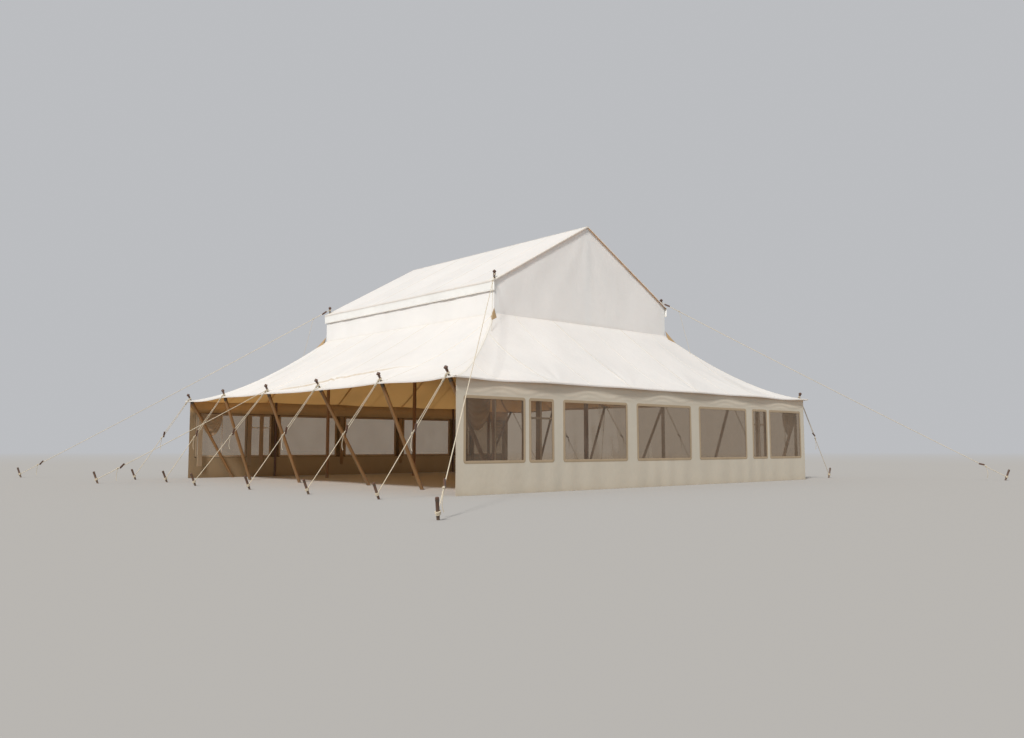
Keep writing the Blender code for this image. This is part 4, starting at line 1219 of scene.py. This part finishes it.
class Finish:
    """A new material and its nodes: lay is the attribute of that name, place the Object coordinates."""

    def __init__(self, name):
        material = bpy.data.materials.new(name)
        if material.name != name:
            raise RuntimeError(f"A finish called {name} is there already")
        material.use_nodes = True
        self.tree = material.node_tree
        self.tree.nodes.clear()
        self.lay = self.node("Attribute", attribute_name="lay").outputs["Vector"]
        self.place = self.node("TexCoord").outputs["Object"]

    def node(self, kind, inputs=None, **settings):
        """One shader node, with values or links for its inputs."""
        made = self.tree.nodes.new("ShaderNode" + kind)
        for key, value in settings.items():
            setattr(made, key, value)
        for key, value in (inputs or {}).items():
            if isinstance(value, bpy.types.NodeSocket):
                self.tree.links.new(value, made.inputs[key])
            else:
                made.inputs[key].default_value = value
        return made

    def parts(self, vector):
        """X, Y and Z of a vector."""
        return self.node("SeparateXYZ", {0: vector}).outputs

    def noise(self, vector, scale, detail=4.0, roughness=0.55):
        """Noise from 0 to 1, with one scale or with one for each axis."""
        if isinstance(scale, tuple):
            vector = self.node("Mapping", {"Vector": vector, "Scale": scale}).outputs["Vector"]
            scale = 1.0
        inputs = {"Vector": vector, "Scale": scale, "Detail": detail, "Roughness": roughness}
        return self.node("TexNoise", inputs).outputs["Fac"]

    def ramp(self, value, low, high, start=0.0, end=1.0):
        """A value stretched so that low gives the start and high gives the end."""
        inputs = {"Value": value, "From Min": low, "From Max": high, "To Min": start, "To Max": end}
        return self.node("MapRange", inputs).outputs["Result"]

    def blend(self, share, first, second):
        """Two colours mixed by a share."""
        ends = {6: first, 7: second}
        for key, colour in ends.items():
            if not isinstance(colour, bpy.types.NodeSocket):
                ends[key] = (*colour, 1.0)
        return self.node("Mix", {0: share, **ends}, data_type="RGBA").outputs[2]

    def maths(self, kind, first, second=0.0):
        """Two values put together as the kind says."""
        return self.node("Math", {0: first, 1: second}, operation=kind).outputs[0]

    def plus(self, first, second):
        """Two values added."""
        return self.maths("ADD", first, second)

    def times(self, first, second):
        """Two values multiplied."""
        return self.maths("MULTIPLY", first, second)

    def distance(self, vector):
        """Distance from the Z axis: the root of X squared plus Y squared."""
        x, y, _ = self.parts(vector)
        square = self.plus(self.maths("POWER", x, 2.0), self.maths("POWER", y, 2.0))
        return self.maths("POWER", square, 0.5)

    def bump(self, height, strength, distance, under=None):
        """A bump, on top of another where one is given."""
        inputs = {"Height": height, "Strength": strength, "Distance": distance}
        if under is not None:
            inputs["Normal"] = under
        return self.node("Bump", inputs).outputs["Normal"]

    def stitches(self, aside, run, place):
        """A row of dashes where aside is at its place: 1 on a stitch and 0 elsewhere."""
        off = self.maths("ABSOLUTE", self.maths("SUBTRACT", aside, place))
        dash = self.ramp(self.maths("PINGPONG", run, 0.006), 0.0018, 0.0026)
        return self.times(self.ramp(off, 0.0017, 0.0009), dash)

    def solid(self, colour, roughness, normal, **values):
        """A Principled shader with a colour, a roughness, a bump and values for other inputs."""
        inputs = {"Base Color": colour, "Roughness": roughness, "Normal": normal}
        inputs.update({key.replace("_", " "): value for key, value in values.items()})
        return self.node("BsdfPrincipled", inputs)

    def show(self, shader, other=None, share=0.0):
        """Puts a shader on the output, or a mix of two by a share."""
        if other:
            shader = self.node("MixShader", {0: share, 1: shader.outputs[0], 2: other.outputs[0]})
        self.node("OutputMaterial", {"Surface": shader.outputs[0]})


def cloth_finish(name, front, through, share, thread=0.0024, soft=9.0, stain=0.5, head=None, strips=False):
    """Woven cloth: light is partly thrown back and partly let through.

    The weave is two crossed waves on the lay of the cloth.  Slow noise gives uneven bleaching, streaks
    run up the cloth, and the wear channel darkens hems and seams, and paints shade as a dark line along
    the long crease and the valance's lower edge.  A head colour, painted golden glow, comes in above the
    windows and grows towards the sides.  A row of stitches follows each hem, and strips have one to each
    side of their middle line.
    """
    made = Finish(name)
    lay, place = made.lay, made.place
    wear_and_shade = made.node("Attribute", attribute_name="wear_and_shade").outputs["Fac"]
    waves = {"Vector": lay, "Scale": 0.314 / thread}
    warp, weft = (made.node("TexWave", waves, bands_direction=axis).outputs["Fac"] for axis in "XY")
    mottle = made.ramp(made.noise(place, 0.9, 5.0), 0.35, 0.7)
    streak = made.ramp(made.noise(lay, (7.0, 0.6, 1.0)), 0.5, 0.75)
    slub = made.ramp(made.noise(lay, (18.0, 160.0, 1.0), 2.0), 0.4, 0.75)
    colour = made.blend(mottle, front, shade(front, 0.95))
    # Painted light: a golden glow on the head of the wall above the windows, stronger towards the sides
    if head:
        x, _, z = made.parts(place)
        aside = made.ramp(made.maths("ABSOLUTE", x), 2.6, 5.2, 0.35, 0.95)
        colour = made.blend(made.times(made.ramp(z, 1.93, 2.1), aside), colour, head)
    colour = made.blend(made.times(streak, 0.22 * stain), colour, shade(front, (0.86, 0.82, 0.74)))
    colour = made.blend(made.times(slub, 0.1), colour, shade(front, 0.86))
    patchy = made.ramp(made.noise(place, 7.0, 3.0), 0.25, 0.7, 0.35)
    # Wear, and the painted shade that the wear channel carries, turn the colour darker and browner
    dirt_and_shade = made.times(made.times(wear_and_shade, patchy), 0.65 * stain)
    colour = made.blend(dirt_and_shade, colour, shade(front, (0.74, 0.58, 0.38)))
    normal = made.bump(made.noise(place, soft, 3.0, 0.5), 0.35, 0.012)
    normal = made.bump(made.maths("MAXIMUM", warp, weft), 0.2, 0.0005, normal)
    across, upward, inside = made.parts(lay)
    if strips:
        stitches = made.stitches(made.maths("ABSOLUTE", across), upward, STRIP_STITCH)
    else:
        stitches = made.stitches(inside, made.plus(across, upward), HEM_STITCH)
    colour = made.blend(made.times(stitches, 0.7), colour, shade(front, (0.55, 0.46, 0.34)))
    normal = made.bump(stitches, 0.5, 0.0008, normal)
    face = made.solid(colour, 0.85, normal, Sheen_Weight=0.08, Specular_IOR_Level=0.25)
    light = made.blend(made.times(mottle, 0.5), through, shade(through, 0.86))
    light = made.blend(made.times(wear_and_shade, 0.5), light, shade(through, 0.6))
    made.show(face, made.node("BsdfTranslucent", {"Color": light, "Normal": normal}), share)


def timber_finish(name, colour, rough):
    """Shaved and oiled timber: stretched noise is the grain, rings come and go, and the foot is dirty."""
    made = Finish(name)
    lay, place = made.lay, made.place
    grain = made.noise(lay, (55.0, 55.0, 2.2), 6.0, 0.65)
    rings = made.noise(lay, (14.0, 14.0, 0.7), 3.0)
    pores = made.noise(lay, (300.0, 300.0, 9.0), 2.0)
    base = made.blend(made.ramp(grain, 0.35, 0.68), shade(colour, 0.62), shade(colour, 1.25))
    tone = made.blend(made.ramp(rings, 0.38, 0.68), shade(colour, 0.78), shade(colour, (1.4, 1.3, 1.1)))
    base = made.blend(0.42, base, tone)
    base = made.blend(made.times(made.ramp(pores, 0.62, 0.75), 0.5), base, shade(colour, 0.35))
    low = made.times(made.ramp(made.parts(place)[2], 0.28, 0.0), made.ramp(made.noise(place, 14.0), 0.3, 0.6))
    base = made.blend(made.times(low, 0.6), base, (0.20, 0.15, 0.10))
    normal = made.bump(grain, 0.3, 0.0025)
    normal = made.bump(pores, 0.2, 0.0006, normal)
    wet = made.ramp(grain, 0.0, 1.0, rough - 0.12, rough + 0.14)
    made.show(made.solid(base, wet, normal, Coat_Weight=0.12, Coat_Roughness=0.35))


def rope_finish(name, colour):
    """Laid rope: fibres are noise stretched along each strand, and the grooves between the strands are
    darkened as painted shade.
    """
    made = Finish(name)
    fibre = made.noise(made.lay, (700.0, 700.0, 60.0), 3.0)
    tone = made.ramp(made.noise(made.place, 6.0), 0.4, 0.7)
    groove_shade = made.ramp(made.distance(made.lay), 0.0088, 0.0068)
    base = made.blend(made.ramp(fibre, 0.3, 0.7), shade(colour, 0.8), shade(colour, 1.12))
    base = made.blend(made.times(tone, 0.3), base, shade(colour, (0.8, 0.74, 0.66)))
    base = made.blend(made.times(groove_shade, 0.45), base, shade(colour, 0.5))
    made.show(made.solid(base, 0.9, made.bump(fibre, 0.5, 0.0012), Sheen_Weight=0.2))


def metal_finish(name, colour, rough):
    """Weathered metal: noise gives a cloudy roughness and dull spots."""
    made = Finish(name)
    cloud = made.noise(made.place, 60.0)
    spots = made.ramp(made.noise(made.place, 160.0, 2.0), 0.62, 0.72)
    base = made.blend(made.ramp(cloud, 0.3, 0.7), shade(colour, 0.8), shade(colour, 1.05))
    base = made.blend(made.times(spots, 0.5), base, (0.22, 0.14, 0.08))
    wet = made.ramp(cloud, 0.0, 1.0, rough - 0.1, rough + 0.2)
    made.show(made.solid(base, wet, made.bump(cloud, 0.15, 0.001), Metallic=1.0))


def clear_finish(name):
    """Clear sheet, tinted brown as painted shade on what is seen through it: mostly let through, with patches
    of haze and a gloss at a slant.
    """
    made = Finish(name)
    haze = made.ramp(made.noise(made.lay, (1.6, 1.1, 1.0), 5.0), 0.3, 0.8)
    rubbed = made.ramp(made.noise(made.lay, (30.0, 3.0, 1.0), 3.0), 0.55, 0.8)
    edge = made.node("LayerWeight", {"Blend": 0.25}).outputs["Fresnel"]
    share = made.plus(made.plus(made.times(haze, 0.12), made.times(rubbed, 0.05)), 0.06)
    share = made.plus(share, made.times(edge, 0.35))
    normal = made.bump(made.noise(made.lay, (5.0, 7.0, 1.0), 3.0), 0.4, 0.02)
    face = made.solid((0.52, 0.45, 0.37, 1), 0.16, normal)
    # Painted shade: the transparent part is tinted brown
    made.show(made.node("BsdfTransparent", {"Color": (0.71, 0.64, 0.56, 1)}), face, share)


def make_finishes():
    """Every finish of the tent."""
    tone = bpy.context.scene.tent_colours
    white = (1.0, 0.93, 0.8)
    cloth_finish("roof_canvas", tone.canvas, white, 0.3)
    # Painted light: the upright canvas is a lighter copy of the roof canvas, so that it looks as sunlit as
    # the roof
    cloth_finish("upright_canvas", shade(tone.canvas, 1.02), white, 0.18, stain=0.4)
    # Painted shade: the inside of the roof and upright canvas is a dark tan copy of the canvas
    cloth_finish("roof_underside_shade", tone.painted_underside, tone.glow, 0.7, stain=0.9)
    cloth_finish("seam_canvas", shade(tone.canvas, (0.95, 0.93, 0.89)), (0.8, 0.6, 0.35), 0.2, strips=True)
    # Painted shade: the tan finish of the gussets and the eave webbing
    cloth_finish("painted_shade_tan", tone.tan, (0.80, 0.50, 0.20), 0.25)
    cloth_finish("wall_outside", tone.wall, (0.85, 0.72, 0.52), 0.3)
    # Painted shade and light: the inside of the end walls is a dark brown copy, with a painted golden glow at
    # its head
    painted_glow = (0.92, 0.58, 0.25)
    cloth_finish("wall_inside_shade", tone.wall_inside_shade, (0.62, 0.47, 0.29), 0.45, stain=0.9, head=painted_glow)
    cloth_finish("band_canvas", shade(tone.curtain, 0.95), (0.6, 0.45, 0.28), 0.15, strips=True)
    cloth_finish("curtain_cloth", tone.curtain, (0.80, 0.62, 0.38), 0.3, thread=0.0016, soft=22.0)
    cloth_finish("swag_cloth", tone.sheer, (0.88, 0.76, 0.56), 0.5, thread=0.0016, soft=22.0, stain=0.25)
    timber_finish("brown_timber", tone.timber, 0.5)
    timber_finish("dark_timber", tone.knob, 0.45)
    rope_finish("cream_rope", tone.rope)
    metal_finish("steel", (0.17, 0.14, 0.11), 0.5)
    metal_finish("brass", (0.62, 0.44, 0.18), 0.35)
    clear_finish("clear_film")


# Stage


def make_floor():
    """A round pale floor: rings round the middle, its far part as light as the backdrop."""
    tone = bpy.context.scene.tent_colours
    radius = np.concatenate([[0.01], np.linspace(2, 60, 30), [90, 140, 220, 400]])[:, None]
    turn = np.linspace(0, 2 * np.pi, 96, endpoint=False)[None]
    grid = stack(radius * np.cos(turn), radius * np.sin(turn), -0.002)
    made = Finish("pale_floor")
    near = made.node("BsdfDiffuse", {"Color": (*tone.floor, 1)})
    far = made.node("Emission", {"Color": (*tone.backdrop, 1), "Strength": 1.0})
    made.show(near, far, made.ramp(made.distance(made.place), 30.0, 120.0))
    part = surface(grid, grid, around=True, out=UP)
    mesh = bpy.data.meshes.new("floor")
    mesh.from_pydata(part["points"].tolist(), [], part["corners"].reshape(-1, 4).tolist())
    mesh.materials.append(bpy.data.materials["pale_floor"])
    floor = bpy.data.objects.new("floor", mesh)
    bpy.context.scene.collection.objects.link(floor)


def make_lights():
    """A soft sun from high on the left, and even light all round."""
    scene = bpy.context.scene
    world = bpy.data.worlds.new("backdrop")
    world.use_nodes = True
    back = world.node_tree.nodes["Background"]
    back.inputs["Color"].default_value = (*scene.tent_colours.backdrop, 1)
    back.inputs["Strength"].default_value = 1.0
    scene.world = world
    lamp = bpy.data.lights.new("sun", "SUN")
    lamp.energy = 3.1
    lamp.angle = math.radians(9)
    lamp.color = (1.0, 0.985, 0.955)
    sun = bpy.data.objects.new("sun", lamp)
    toward = Vector((-0.63, -0.30, 0.72))
    sun.rotation_euler = toward.to_track_quat("Z", "Y").to_euler()
    scene.collection.objects.link(sun)
    scene.view_settings.view_transform = "Standard"
    scene.view_settings.exposure = 0.0


def make_camera():
    """The photograph's eye point, turned to the right so that the whole tent is in the picture."""
    lens = bpy.data.cameras.new("camera")
    lens.sensor_width = 36.0
    lens.lens = 31.0
    lens.clip_end = 1000
    camera = bpy.data.objects.new("camera", lens)
    camera.location = (-16.9, -19.7, 0.95)
    turn, pitch = math.radians(42.0), math.radians(5.0)
    ahead = Vector((math.sin(turn) * math.cos(pitch), math.cos(turn) * math.cos(pitch), math.sin(pitch)))
    camera.rotation_euler = ahead.to_track_quat("-Z", "Y").to_euler()
    bpy.context.scene.collection.objects.link(camera)
    bpy.context.scene.camera = camera


# Operators


class TENT_OT_finishes(bpy.types.Operator):
    """Makes the finishes of canvas, cloth, timber, rope and metal"""

    bl_idname = "tent.finishes"
    bl_label = "Finishes"

    def execute(self, context):
        make_finishes()
        return {"FINISHED"}


class TENT_OT_poles(bpy.types.Operator):
    """Makes the side poles, king poles, ridge pole, inner poles and end poles"""

    bl_idname = "tent.poles"
    bl_label = "Poles"

    def execute(self, context):
        make_side_poles()
        make_upright_poles()
        return {"FINISHED"}


class TENT_OT_lower_roof(bpy.types.Operator):
    """Makes the four slopes of the lower roof with their seams, webbing and gussets"""

    bl_idname = "tent.lower_roof"
    bl_label = "Lower roof"

    def execute(self, context):
        for name, side, sign in SLOPES:
            make_slope(name, side, sign)
        make_seams()
        make_gussets()
        return {"FINISHED"}


class TENT_OT_upper_roof(bpy.types.Operator):
    """Makes the upper roof, its valances, the upright walls and the gables"""

    bl_idname = "tent.upper_roof"
    bl_label = "Upper roof"

    def execute(self, context):
        make_upper_canvas()
        for name, sign in SIDES:
            make_upper_valance(name, sign)
            make_upright(name, sign)
        for name, sign in ENDS:
            make_gable(name, sign)
        return {"FINISHED"}


class TENT_OT_end_walls(bpy.types.Operator):
    """Makes the end walls with their window bands, bars and clear sheets"""

    bl_idname = "tent.end_walls"
    bl_label = "End walls"

    def execute(self, context):
        for name, sign in ENDS:
            make_end_wall(name, sign)
            make_window_frames(name, sign)
            make_clear_sheet(name, sign)
        return {"FINISHED"}


class TENT_OT_curtains(bpy.types.Operator):
    """Makes the curtain rails, the narrow curtains and the swags"""

    bl_idname = "tent.curtains"
    bl_label = "Curtains"

    def execute(self, context):
        for name, sign in ENDS:
            make_rail(name, sign)
            make_curtains(name, sign)
            make_swags(name, sign)
        return {"FINISHED"}


class TENT_OT_fittings(bpy.types.Operator):
    """Makes the patches and rings at the eyelets"""

    bl_idname = "tent.fittings"
    bl_label = "Fittings"

    def execute(self, context):
        make_fittings()
        return {"FINISHED"}


class TENT_OT_guys(bpy.types.Operator):
    """Makes the guy ropes with their runners, knots and stakes"""

    bl_idname = "tent.guys"
    bl_label = "Guys"

    def execute(self, context):
        make_side_guys()
        make_corner_guys()
        return {"FINISHED"}


class TENT_OT_stage(bpy.types.Operator):
    """Makes the floor, the lights and the camera"""

    bl_idname = "tent.stage"
    bl_label = "Stage"

    def execute(self, context):
        make_floor()
        make_lights()
        make_camera()
        return {"FINISHED"}


OPERATORS = (
    TENT_OT_finishes,
    TENT_OT_poles,
    TENT_OT_lower_roof,
    TENT_OT_upper_roof,
    TENT_OT_end_walls,
    TENT_OT_curtains,
    TENT_OT_fittings,
    TENT_OT_guys,
    TENT_OT_stage,
)


class TENT_PT_looks(bpy.types.Panel):
    """Lists the pieces with their sizes and colours"""

    bl_idname = "TENT_PT_looks"
    bl_label = "Marquee Tent"
    bl_space_type = "VIEW_3D"
    bl_region_type = "UI"
    bl_category = "Tent"

    def draw(self, context):
        for group in (context.scene.tent_sizes, context.scene.tent_colours):
            box = self.layout.box()
            for key in group.__annotations__:
                box.prop(group, key)
        for operator in OPERATORS:
            self.layout.operator(operator.bl_idname)


CLASSES = (TentSizes, TentColours, *OPERATORS, TENT_PT_looks)


def register():
    """Adds the classes, and the sizes and colours to the scene."""
    for item in CLASSES:
        bpy.utils.register_class(item)
    bpy.types.Scene.tent_sizes = bpy.props.PointerProperty(type=TentSizes)
    bpy.types.Scene.tent_colours = bpy.props.PointerProperty(type=TentColours)


def unregister():
    """Takes them out again."""
    del bpy.types.Scene.tent_colours
    del bpy.types.Scene.tent_sizes
    for item in reversed(CLASSES):
        bpy.utils.unregister_class(item)


def main():
    """Makes every piece in order."""
    register()
    bpy.ops.tent.finishes()
    bpy.ops.tent.poles()
    bpy.ops.tent.lower_roof()
    bpy.ops.tent.upper_roof()
    bpy.ops.tent.end_walls()
    bpy.ops.tent.curtains()
    bpy.ops.tent.fittings()
    bpy.ops.tent.guys()
    bpy.ops.tent.stage()


if __name__ == "__main__":
    main()
